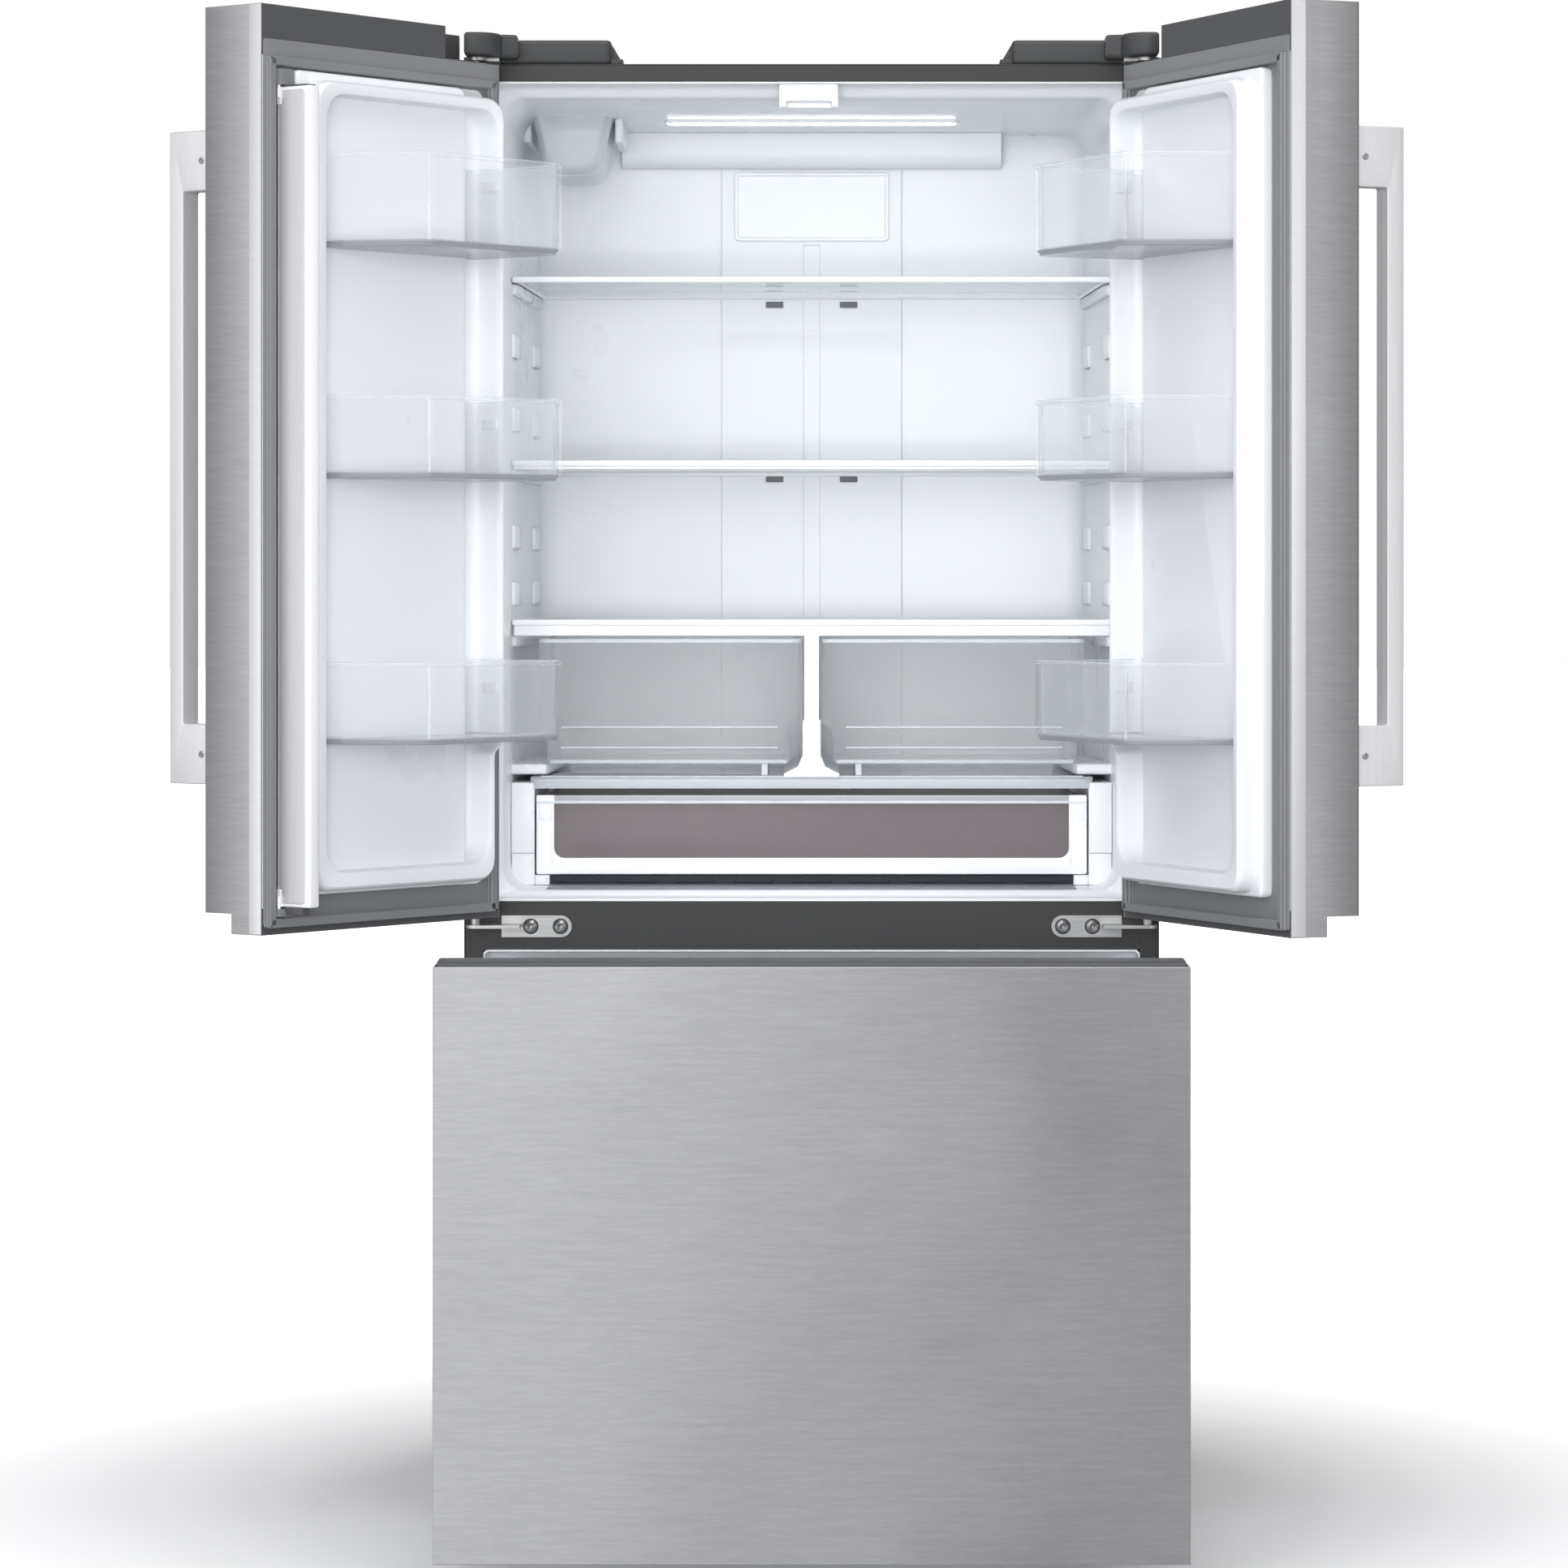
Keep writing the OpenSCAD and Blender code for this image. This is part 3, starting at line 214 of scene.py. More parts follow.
def grained(name, colour, roughness, scale=900.0, bump=0.05, spread=0.05, wear=0.25, **plain):
    """Paint or moulded plastic: a fine even grain, faint cloudiness and paler worn edges."""
    made, tree, shader = start_material(name, **plain)
    grain = place(tree, "ShaderNodeGroup", {"Scale": scale}, node_tree=fine_grain)
    worn = place(tree, "ShaderNodeGroup", {"Radius": 0.0012, "Strength": wear}, node_tree=edge_wear)
    deep = tuple(c * (1 - spread) for c in colour) + (1,)
    pale = tuple(c + (1 - c) * 0.35 for c in colour) + (1,)
    tone = place(tree, "ShaderNodeMixRGB", {"Fac": grain.outputs["Cloud"], "Color1": deep,
                                            "Color2": (*colour, 1)})
    edged = place(tree, "ShaderNodeMixRGB", {"Fac": worn.outputs["Mask"], "Color1": tone.outputs["Color"],
                                             "Color2": pale})
    gloss = place(tree, "ShaderNodeMapRange", {"Value": grain.outputs["Cloud"], "From Min": 0.3,
                                               "From Max": 0.7, "To Min": roughness - 0.03,
                                               "To Max": roughness + 0.03})
    relief = place(tree, "ShaderNodeBump", {"Height": grain.outputs["Height"], "Strength": bump,
                                            "Distance": 0.0004})
    tree.links.new(edged.outputs["Color"], shader.inputs["Base Color"])
    tree.links.new(gloss.outputs["Result"], shader.inputs["Roughness"])
    tree.links.new(relief.outputs["Normal"], shader.inputs["Normal"])
    return made


def dress(node, material, edge=0.0008):
    """Gives a part of the frame its finish and eases its edges."""
    obj = frame["nodes"][node]
    if not obj.material_slots:
        obj.data.materials.append(material)
    for held in obj.material_slots:
        held.material = material
    if edge:
        weld = obj.modifiers.new("weld", "WELD")
        weld.merge_threshold = 0.00001
        flat_faces = obj.modifiers.new("flat_faces", "DECIMATE")
        flat_faces.decimate_type = "DISSOLVE"
        flat_faces.angle_limit = math.radians(0.5)
        bevel = obj.modifiers.new("eased_edges", "BEVEL")
        bevel.width = edge
        bevel.segments = 2
        bevel.limit_method = "ANGLE"
        bevel.angle_limit = math.radians(40)
        bevel.use_clamp_overlap = True
        obj.modifiers.new("even_shading", "WEIGHTED_NORMAL").keep_sharp = False


case_paint = grained("case_paint", (0.035, 0.0355, 0.036), 0.42, scale=1400, bump=0.08, spread=0.12,
                     wear=0.2)
for node in ("outer_case", "front_frame", "mid_rail"):
    dress(node, case_paint)


# Back sheet, louvred cover, bottom pan, levelling feet and rear rollers. Painted and galvanised
# sheet is screwed to the wrapper; the feet and rollers are moulded nylon on steel stems.
def metal(name, colour, roughness, scale, stretch, bump=0.2, contrast=0.16, wear=0.2, crown=None,
          metallic=1.0):
    """Bare metal with fine brushed lines, drawn out along some axes by the stretch. A crown is a
    very shallow swell of the sheet: its direction, middle, half width and slope at the edge."""
    made, tree, shader = start_material(name, metallic=metallic)
    lines = place(tree, "ShaderNodeGroup", {"Scale": scale, "Stretch": stretch}, node_tree=brushed_lines)
    worn = place(tree, "ShaderNodeGroup", {"Radius": 0.0012, "Strength": wear}, node_tree=edge_wear)
    deep = tuple(c * (1 - contrast) for c in colour) + (1,)
    pale = tuple(min(c * (1 + contrast), 1) for c in colour) + (1,)
    tone = place(tree, "ShaderNodeMixRGB", {"Fac": lines.outputs["Streak"], "Color1": deep, "Color2": pale})
    edged = place(tree, "ShaderNodeMixRGB", {"Fac": worn.outputs["Mask"], "Color1": tone.outputs["Color"],
                                             "Color2": (0.86, 0.86, 0.86, 1)})
    gloss = place(tree, "ShaderNodeMapRange", {"Value": lines.outputs["Cloud"], "From Min": 0.3,
                                               "From Max": 0.7, "To Min": roughness - 0.05,
                                               "To Max": roughness + 0.05})
    relief = place(tree, "ShaderNodeBump", {"Height": lines.outputs["Height"], "Strength": bump,
                                            "Distance": 0.0003})
    if crown:
        towards, centre, half_width, slope = crown
        swell = place(tree, "ShaderNodeGroup", {"Towards": towards, "Middle": centre,
                                                "Half Width": half_width,
                                                "Slope": slope}, node_tree=shallow_crown)
        bulge = place(tree, "ShaderNodeBump", {"Height": swell.outputs["Height"], "Distance": 1.0})
        tree.links.new(bulge.outputs["Normal"], relief.inputs["Normal"])
    tree.links.new(edged.outputs["Color"], shader.inputs["Base Color"])
    tree.links.new(gloss.outputs["Result"], shader.inputs["Roughness"])
    tree.links.new(relief.outputs["Normal"], shader.inputs["Normal"])
    return made


brushed_lines, given, result = group_of("brushed_lines", {
    "Scale": (NUMBER, 900.0), "Stretch": ("NodeSocketVector", (0.02, 0.02, 1.0))},
                                        ["Height", "Streak", "Cloud"])
where = place(brushed_lines, "ShaderNodeTexCoord")
drawn = place(brushed_lines, "ShaderNodeVectorMath",
              {0: where.outputs["Object"], 1: given.outputs["Stretch"]},
              operation="MULTIPLY")
hairs = place(brushed_lines, "ShaderNodeTexNoise", {"Vector": drawn.outputs["Vector"], "Detail": 3.0,
                                                    "Scale": given.outputs["Scale"]})
bands = place(brushed_lines, "ShaderNodeTexNoise", {"Vector": drawn.outputs["Vector"], "Scale": 300.0,
                                                    "Detail": 4.0})
both = place(brushed_lines, "ShaderNodeMath", {0: hairs.outputs["Fac"], 1: bands.outputs["Fac"]},
             operation="ADD")
streak = place(brushed_lines, "ShaderNodeMapRange", {"Value": both.outputs[0], "From Min": 0.72,
                                                     "From Max": 1.28})
haze = place(brushed_lines, "ShaderNodeTexNoise", {"Vector": where.outputs["Object"], "Scale": 3.0,
                                                   "Detail": 4.0})
brushed_lines.links.new(hairs.outputs["Fac"], result.inputs["Height"])
brushed_lines.links.new(streak.outputs["Result"], result.inputs["Streak"])
brushed_lines.links.new(haze.outputs["Fac"], result.inputs["Cloud"])

shallow_crown, given, result = group_of("shallow_crown", {
    "Towards": ("NodeSocketVector", (1.0, 0.0, 0.0)), "Middle": (NUMBER, 0.0), "Half Width": (NUMBER, 1.0),
    "Slope": (NUMBER, 0.05)}, ["Height"])
where = place(shallow_crown, "ShaderNodeTexCoord")
across = place(shallow_crown, "ShaderNodeVectorMath",
               {0: where.outputs["Object"], 1: given.outputs["Towards"]},
               operation="DOT_PRODUCT")
offset = place(shallow_crown, "ShaderNodeMath", {0: across.outputs["Value"], 1: given.outputs["Middle"]},
               operation="SUBTRACT")
square = place(shallow_crown, "ShaderNodeMath", {0: offset.outputs[0], 1: offset.outputs[0]},
               operation="MULTIPLY")
curve = place(shallow_crown, "ShaderNodeMath", {0: square.outputs[0], 1: given.outputs["Half Width"]},
              operation="DIVIDE")
sunk = place(shallow_crown, "ShaderNodeMath", {0: curve.outputs[0], 1: given.outputs["Slope"]},
             operation="MULTIPLY")
height = place(shallow_crown, "ShaderNodeMath", {0: sunk.outputs[0], 1: -0.5}, operation="MULTIPLY")
shallow_crown.links.new(height.outputs[0], result.inputs["Height"])

LEVEL = (0.06, 0.06, 1.0)
UPRIGHT = (1.0, 1.0, 0.04)
zinc = metal("zinc_plate", (0.80, 0.80, 0.79), 0.38, 500, LEVEL, bump=0.1, contrast=0.08)
nylon = grained("black_nylon", (0.02, 0.02, 0.021), 0.5, scale=700)
dress("rear_panels", case_paint, 0.0004)
dress("base_pan", zinc, 0.0005)
dress("levelling_feet", grained("foot_nylon", (0.035, 0.036, 0.037), 0.5, scale=700), 0.0015)
dress("rear_rollers", nylon, 0.0012)


# Fresh food liner. One thermoformed tub of glossy white plastic with drafted walls, rounded
# corners and moulded shelf ledges; its lip folds forward to the painted frame.
def rounded_rect(a, b, r, steps=5):
    """Corner points of a rounded rectangle, anticlockwise."""
    centres = ((b[0] - r, b[1] - r), (a[0] + r, b[1] - r), (a[0] + r, a[1] + r), (b[0] - r, a[1] + r))
    return [(cx + r * math.cos(turn), cy + r * math.sin(turn))
            for k, (cx, cy) in enumerate(centres)
            for turn in (math.pi / 2 * (k + i / steps) for i in range(steps + 1))]


def inset(outline, d):
    """The outline drawn in by d, with each side kept parallel."""
    made = []
    for k, p in enumerate(outline):
        before, after = Vector(outline[k - 1]), Vector(outline[(k + 1) % len(outline)])
        p = Vector(p)
        one, two = (p - before).normalized(), (after - p).normalized()
        across = Vector((-one.y - two.y, one.x + two.x))
        share = max(across.length_squared / 2, 0.2)
        made.append(tuple(p + across * (d / share)))
    return made


def stand(outline, height, along):
    """A flat outline as a ring of points at a height along one axis."""
    if along == 0:
        return [(height, p, q) for p, q in outline]
    if along == 1:
        return [(p, height, q) for p, q in outline]
    return [(p, q, height) for p, q in outline]


def loft(rings, around=False):
    """Equal rings of points skinned into one closed shape."""
    count = len(rings[0])
    joins = list(zip(range(len(rings)), list(range(1, len(rings))) + [0]))
    faces = [(a * count + i, a * count + (i + 1) % count, b * count + (i + 1) % count, b * count + i)
             for a, b in (joins if around else joins[:-1]) for i in range(count)]
    if not around:
        faces += [tuple(range(count)), tuple(range((len(rings) - 1) * count, len(rings) * count))]
    return [p for ring in rings for p in ring], faces


def ease(low, high, edge, steps=3):
    """Heights and insets of a shape with both ends rounded off by the edge radius."""
    turns = [math.pi / 2 * k / steps for k in range(steps + 1)]
    lower = [(low + edge * (1 - math.sin(t)), edge * (1 - math.cos(t))) for t in reversed(turns)]
    upper = [(high - edge * (1 - math.sin(t)), edge * (1 - math.cos(t))) for t in turns]
    return lower + upper if edge else [(low, 0), (high, 0)]


def slab(outline, low, high, edge=0.001, along=2):
    """A plate or bar of the outline's shape with eased edges."""
    return loft([stand(inset(outline, d) if d else outline, h, along) for h, d in ease(low, high, edge)])


def bar(a, b, edge=0.001, corner=None, along=2):
    """A box between two corners with rounded edges and corners."""
    p, q = [k for k in range(3) if k != along]
    low = [min(a[k], b[k]) for k in range(3)]
    high = [max(a[k], b[k]) for k in range(3)]
    outline = rounded_rect((low[p], low[q]), (high[p], high[q]), corner or edge * 1.2, 3)
    return slab(outline, low[along], high[along], edge, along)


def solid(name, *shapes, where=None, smooth_under=38):
    """A mesh of closed shapes, with normals facing out and edges kept crisp above an angle."""
    made = bmesh.new()
    for points, faces in shapes:
        verts = [made.verts.new(where @ Vector(p) if where else p) for p in points]
        for face in faces:
            made.faces.new([verts[i] for i in face])
    bmesh.ops.recalc_face_normals(made, faces=made.faces)
    for face in made.faces:
        face.smooth = True
    for edge in made.edges:
        edge.smooth = edge.calc_face_angle(0) < math.radians(smooth_under)
    mesh = bpy.data.meshes.new(name)
    made.to_mesh(mesh)
    made.free()
    return mesh


def piece(name, mesh, material, body, slot, *stands_for):
    """A finished mesh as a piece of the object that rides on a body."""
    obj = bpy.data.objects.new(name, mesh)
    scene.collection.objects.link(obj)
    mesh.materials.append(material)
    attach(obj, body)
    if stands_for:
        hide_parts(*stands_for)
    return obj


white_liner = grained("white_liner", (0.82, 0.84, 0.87), 0.30, scale=260, bump=0.06, spread=0.015,
                      wear=0.04,
                      coat_weight=0.25, coat_roughness=0.15)
liner_low, liner_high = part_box("fridge_liner")
sheet = 0.0025
front_y = frame_low.y
mouth = (liner_high.x - sheet, liner_low.z + sheet, liner_high.z - sheet)
shelf_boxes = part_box("shelf_frames")
duct_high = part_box("air_duct")[1]
cavity_z = (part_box("deli_rails")[0].z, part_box("filter_housing")[1].z)
flare_depth, cavity_depth = 0.062, duct_high.y - front_y


def wall_x(depth):
    """Half width of the compartment at a depth behind the frame."""
    return 0.3715 - (0.3715 - 0.354) * (depth - flare_depth) / (cavity_depth - flare_depth)


def shell_ring(depth, half_width, low, high, corner):
    """A section of a liner at a depth behind the frame."""
    return stand(rounded_rect((-half_width, low), (half_width, high), corner, 6), front_y + depth, 1)


def liner_shell(sections):
    """An open liner of sheet thickness through sections (depth, half width, foot, top, corner)."""
    inside = [shell_ring(*section) for section in sections]
    outside = [shell_ring(depth + (sheet if k > len(sections) - 3 else 0), half_width + sheet, low - sheet,
                          high + sheet, corner + sheet)
               for k, (depth, half_width, low, high, corner) in enumerate(sections)]
    return loft(inside[::-1] + outside)


def eased_mouth(mouth_size, cavity_size, corner=0.006, turns=6):
    """Sections that curve from the straight lip in to the narrower cavity behind it."""
    made = [(0.003, *mouth_size, corner), (0.036, *mouth_size, corner + 0.001)]
    for k in range(turns + 1):
        t = k / turns
        share = t * t * (3 - 2 * t)
        made.append((0.040 + (flare_depth - 0.040) * t,
                     *(a + (b - a) * share for a, b in zip(mouth_size, cavity_size)),
                     corner + 0.002 + 0.018 * t))
    return made


back_r = 0.022
sections = eased_mouth((mouth[0], mouth[1], mouth[2]), (wall_x(flare_depth), *cavity_z))
sections += [(0.3, wall_x(0.3), *cavity_z, 0.028)]
for k in range(6):
    t = math.pi / 2 * k / 5
    pull = back_r * (1 - math.cos(t))
    depth = cavity_depth - back_r * (1 - math.sin(t))
    sections.append((depth, wall_x(depth) - pull, cavity_z[0] + pull, cavity_z[1] - pull, 0.030))
shell = liner_shell(sections)


def ledge(side, z, depths, height, reach, edge=0.004):
    """A moulded ledge on a side wall that follows the wall's taper."""
    d0, d1 = depths
    outline = [(-wall_x(d0) - 0.0015, d0), (-wall_x(d0) + reach - edge, d0),
               (-wall_x(d0) + reach, d0 + edge * 1.6),
               (-wall_x(d1) + reach, d1 - edge * 1.6), (-wall_x(d1) + reach - edge, d1),
               (-wall_x(d1) - 0.0015, d1)]
    outline = [(-side * x, front_y + y) for x, y in outline]
    return slab(outline if side < 0 else outline[::-1], z - height, z, min(edge, height * 0.3))


shelf_levels = (1.486, 1.258, 1.054)
supports = [shell]
for side in (-1, 1):
    for z in shelf_levels:
        supports.append(ledge(side, z, (0.170, 0.530), 0.014, 0.009))
    for z in (1.425, 1.335, 1.190, 1.120):
        supports.append(ledge(side, z, (0.172, 0.232), 0.030, 0.007))
        supports.append(ledge(side, z, (0.470, 0.530), 0.030, 0.007))
    supports.append(ledge(side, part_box("left_crisper")[0].z - 0.0006, (0.166, 0.526), 0.013, 0.046))
piece("fresh_food_liner", solid("fresh_food_liner", *supports), white_liner, "root", "white_liner",
      "fridge_liner")


# Freezer liner and its inner back cover. The same white plastic, stepped over the machine space,
# with a slotted cover over the coil and fan.
freezer_low, freezer_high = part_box("freezer_liner")
rear_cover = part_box("freezer_back_cover")
freezer_mouth = (freezer_high.x - sheet, freezer_low.z + sheet, freezer_high.z - sheet)
cavity_foot, cavity_back, foot_corner = 0.080, 0.560, 0.030
freezer_half, freezer_top = rear_cover[1].x + 0.0003, rear_cover[1].z
freezer_size = (freezer_half, cavity_foot, freezer_top)
step_depth, step_top = 0.440, 0.330
sections = eased_mouth(freezer_mouth, freezer_size)
for depth, pulled, foot in ((step_depth - 0.02, 0, cavity_foot), (step_depth - 0.006, 0, 0.086),
                            (step_depth, 0, 0.100), (step_depth, 0, step_top - 0.034),
                            (step_depth + 0.004, 0, step_top - 0.024),
                            (step_depth + 0.028, 0, step_top - 0.001),
                            (step_depth + 0.034, 0, step_top), (0.54, 0, step_top),
                            (0.555, 0.005, step_top + 0.005), (cavity_back, 0.018, step_top + 0.018)):
    sections.append((depth, freezer_half - pulled, foot, freezer_top - pulled, foot_corner))
shapes = [liner_shell(sections)]
for side in (-1, 1):
    shapes.append(bar((side * (freezer_half + 0.0015), front_y + 0.070, 0.584),
                      (side * (freezer_half - 0.020), front_y + 0.470, 0.596), 0.003))
piece("freezer_tub", solid("freezer_tub", *shapes), white_liner, "root", "white_liner", "freezer_liner")
dress("freezer_back_cover", white_liner, 0.001)
foam = grained("rigid_foam", (0.80, 0.70, 0.42), 0.9, scale=320, bump=0.5, spread=0.15, wear=0.0)
for node in ("case_foam", "left_door_foam", "right_door_foam", "drawer_foam"):
    dress(node, foam, 0)


# Air duct, its cover panel and the ceiling light. The duct and bulge are one moulding clipped to
# the back wall, the panel is a blank snap-on cover, and the light is a milky lens over a row of
# lamps.
dress("air_duct", white_liner, 0.0025)
# Dark grey bars set just behind the duct's vent openings: painted shade inside the vents.
vent_shade_grey = grained("vent_shade_plastic", (0.17, 0.18, 0.19), 0.6, scale=700, bump=0.1)
vent_shade_bars, duct_face, vent_tall = [], duct_high.y - 0.006, 0.0078
for side in (-1, 1):
    for z in (1.505, 1.478, 1.250):
        for x0, x1, y0, y1, edge in ((0.0372, 0.0598, 0.0022, 0.0038, 0.0003),
                                     (0.0480, 0.0490, 0.0004, 0.0030, 0.0002)):
            vent_shade_bars.append(bar((side * x0, duct_face + y0, z + 0.0002),
                               (side * x1, duct_face + y1, z + vent_tall), edge))
piece("duct_vent_shade_bars", solid("duct_vent_shade_bars", *vent_shade_bars), vent_shade_grey, "root", "dark_plastic")
white_trim = grained("white_trim", (0.86, 0.88, 0.90), 0.24, scale=420, bump=0.03, spread=0.02, wear=0.1,
                     coat_weight=0.4, coat_roughness=0.08)
panel_low, panel_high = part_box("airflow_panel")
face = rounded_rect((panel_low.x, panel_low.z), (panel_high.x, panel_high.z), 0.006)
field = inset(face, 0.004)
panel = loft([stand(face, panel_high.y, 1), stand(face, panel_low.y + 0.0012, 1),
              stand(inset(face, 0.0012), panel_low.y, 1), stand(field, panel_low.y, 1),
              stand(inset(face, 0.0055), panel_low.y + 0.0016, 1)])
piece("airflow_panel_cover", solid("airflow_panel_cover", panel), white_trim, "root", "white_trim",
      "airflow_panel")

lens_glow, tree, shader = start_material("lens_glow", roughness=0.35, emission_strength=9.0)
lamps = place(tree, "ShaderNodeTexCoord")
spacing = place(tree, "ShaderNodeVectorMath", {0: lamps.outputs["Object"], 1: (28.0, 28.0, 28.0)},
                operation="MULTIPLY")
dots = place(tree, "ShaderNodeTexNoise", {"Vector": spacing.outputs["Vector"], "Scale": 1.0})
warmth = place(tree, "ShaderNodeMixRGB", {"Fac": dots.outputs["Fac"], "Color1": (0.95, 0.98, 1.0, 1),
                                          "Color2": (1.0, 0.99, 0.96, 1)})
tree.links.new(warmth.outputs["Color"], shader.inputs["Emission Color"])
tree.links.new(warmth.outputs["Color"], shader.inputs["Base Color"])
lens_low, lens_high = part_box("lamp_lens")
lens = slab(rounded_rect((lens_low.x, lens_low.y), (lens_high.x, lens_high.y), 0.0085, 6), lens_low.z,
            lens_high.z + 0.0002, 0.002)
piece("light_bar", solid("light_bar", lens), lens_glow, "root", "diffuser", "lamp_lens")
rim = rounded_rect((lens_low.x - 0.004, lens_low.y - 0.004), (lens_high.x + 0.004, lens_high.y + 0.004),
                   0.0125, 6)
hole = rounded_rect((lens_low.x, lens_low.y), (lens_high.x, lens_high.y), 0.0085, 6)
bezel = loft([stand(rim, lens_high.z + 0.0002, 2), stand(rim, lens_low.z + 0.003, 2),
              stand(inset(rim, 0.0015), lens_low.z + 0.0018, 2), stand(hole, lens_low.z + 0.0022, 2),
              stand(hole, lens_high.z + 0.0002, 2)], around=True)
piece("light_bezel", solid("light_bezel", bezel), white_trim, "root", "white_trim")


# Water filter housing and centre seal guide. A milky cup with a turned-in front hangs from a
# ceiling socket at the upper left, and a white guide block with a cam slot is screwed to the
# ceiling at the front.
def clear(name, colour, roughness, face_on, edge_on, tint=0.0, **plain):
    """Clear plastic or glass: faint when seen square on and stronger towards its edges."""
    made, tree, shader = start_material(name, roughness=roughness, **plain)
    grain = place(tree, "ShaderNodeGroup", {"Scale": 160.0}, node_tree=fine_grain)
    worn = place(tree, "ShaderNodeGroup", {"Radius": 0.0015, "Strength": 0.9}, node_tree=edge_wear)
    tone = place(tree, "ShaderNodeMixRGB", {"Fac": grain.outputs["Cloud"], "Color1": (*colour, 1),
                                            "Color2": tuple(min(c * 1.08, 1) for c in colour) + (1,)})
    slant = place(tree, "ShaderNodeLayerWeight", {"Blend": 0.35})
    steep = place(tree, "ShaderNodeMath", {0: slant.outputs["Facing"], 1: 2.0}, operation="POWER")
    body = place(tree, "ShaderNodeMapRange", {"Value": steep.outputs[0], "To Min": face_on,
                                              "To Max": edge_on})
    rimmed = place(tree, "ShaderNodeMath", {0: body.outputs["Result"], 1: worn.outputs["Mask"]},
                   operation="ADD",
                   use_clamp=True)
    relief = place(tree, "ShaderNodeBump", {"Height": grain.outputs["Height"], "Strength": 0.03,
                                            "Distance": 0.0004})
    tree.links.new(tone.outputs["Color"], shader.inputs["Base Color"])
    tree.links.new(rimmed.outputs[0], shader.inputs["Alpha"])
    tree.links.new(relief.outputs["Normal"], shader.inputs["Normal"])
    return made


frosted = clear("frosted_plastic", (0.80, 0.85, 0.88), 0.28, 0.62, 0.95)
cup_low, cup_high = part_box("filter_housing")
cup_mid = (cup_low.x + cup_high.x) / 2


def cup_section(y, size):
    """The cup's section: straight drafted sides and a round belly."""
    top, belly, r = (cup_high.x - cup_low.x) / 2 * size, (cup_high.x - cup_low.x) / 2 * size - 0.011, 0.026 * size
    drop = (cup_high.z - cup_low.z) * size
    left = [(cup_mid - belly + r - r * math.cos(t), cup_high.z - drop + r - r * math.sin(t))
            for t in (math.pi / 2 * k / 6 for k in range(7))]
    right = [(2 * cup_mid - x, z) for x, z in reversed(left)]
    return stand(left + right + [(cup_mid + top, cup_high.z), (cup_mid - top, cup_high.z)], y, 1)


steps = [(0, 0.80), (0.003, 0.87), (0.010, 0.93), (0.022, 0.97), (0.040, 0.985), (0.041, 1.0), (0.052, 1.0),
         (0.053, 0.985), (0.2, 1.0)]
cup = loft([cup_section(cup_low.y + dy, size) for dy, size in steps] +
           [cup_section(cup_high.y, 1.0), cup_section(cup_high.y, 0.9)])
piece("filter_cup", solid("filter_cup", cup), frosted, "root", "frosted_plastic", "filter_housing")
socket = [bar((cup_low.x - 0.012, cup_low.y + 0.05, cup_high.z - 0.030),
              (cup_low.x - 0.002, cup_high.y, cup_high.z),
              0.002, 0.004),
          bar((cup_high.x + 0.002, cup_low.y + 0.05, cup_high.z - 0.030), (cup_high.x + 0.012, cup_high.y,
                                                                         cup_high.z), 0.002, 0.004)]
piece("filter_socket", solid("filter_socket", *socket), white_liner, "root", "white_liner")
dress("mullion_guide", white_trim, 0.002)


# Glass shelves. Each is a pane of toughened glass held in a white moulded rim, with a rounded
# nose in front, that rests on the ledges of the side walls.
def rounded(corners, r, steps=4):
    """An outline through the corners, each rounded by its own radius or a shared one."""
    made = []
    for k, corner in enumerate(corners):
        radius = r[k] if isinstance(r, (list, tuple)) else r
        p = Vector(corner)
        one = (Vector(corners[k - 1]) - p).normalized()
        two = (Vector(corners[(k + 1) % len(corners)]) - p).normalized()
        half_turn = one.angle(two) / 2
        centre = p + (one + two).normalized() * (radius / math.sin(half_turn))
        start = p + one * (radius / math.tan(half_turn)) - centre
        end = p + two * (radius / math.tan(half_turn)) - centre
        sweep = start.angle(end)
        made += [tuple(centre + (start * math.sin(sweep * (1 - i / steps)) + end * math.sin(sweep * i / steps))
                       / math.sin(sweep)) for i in range(steps + 1)]
    return made


def ring_plate(outer, inner, low, high, edge=0.001, along=2):
    """A plate with a window: two outlines of equally many points and eased outer edges."""
    rings = [stand(inset(outer, d) if d else outer, h, along) for h, d in ease(low, high, edge, 2)]
    rings += [stand(inset(inner, -edge), high, along), stand(inner, high - edge, along),
              stand(inner, low + edge, along), stand(inset(inner, -edge), low, along)]
    return loft(rings, around=True)


def shelf_plan(depths, gap, r=0.004):
    """The plan of a shelf between two depths, kept the gap away from the tapered walls."""
    near, far = wall_x(depths[0]) - gap, wall_x(depths[1]) - gap
    y0, y1 = front_y + depths[0], front_y + depths[1]
    return rounded([(far, y1), (-far, y1), (-near, y0), (near, y0)], r)


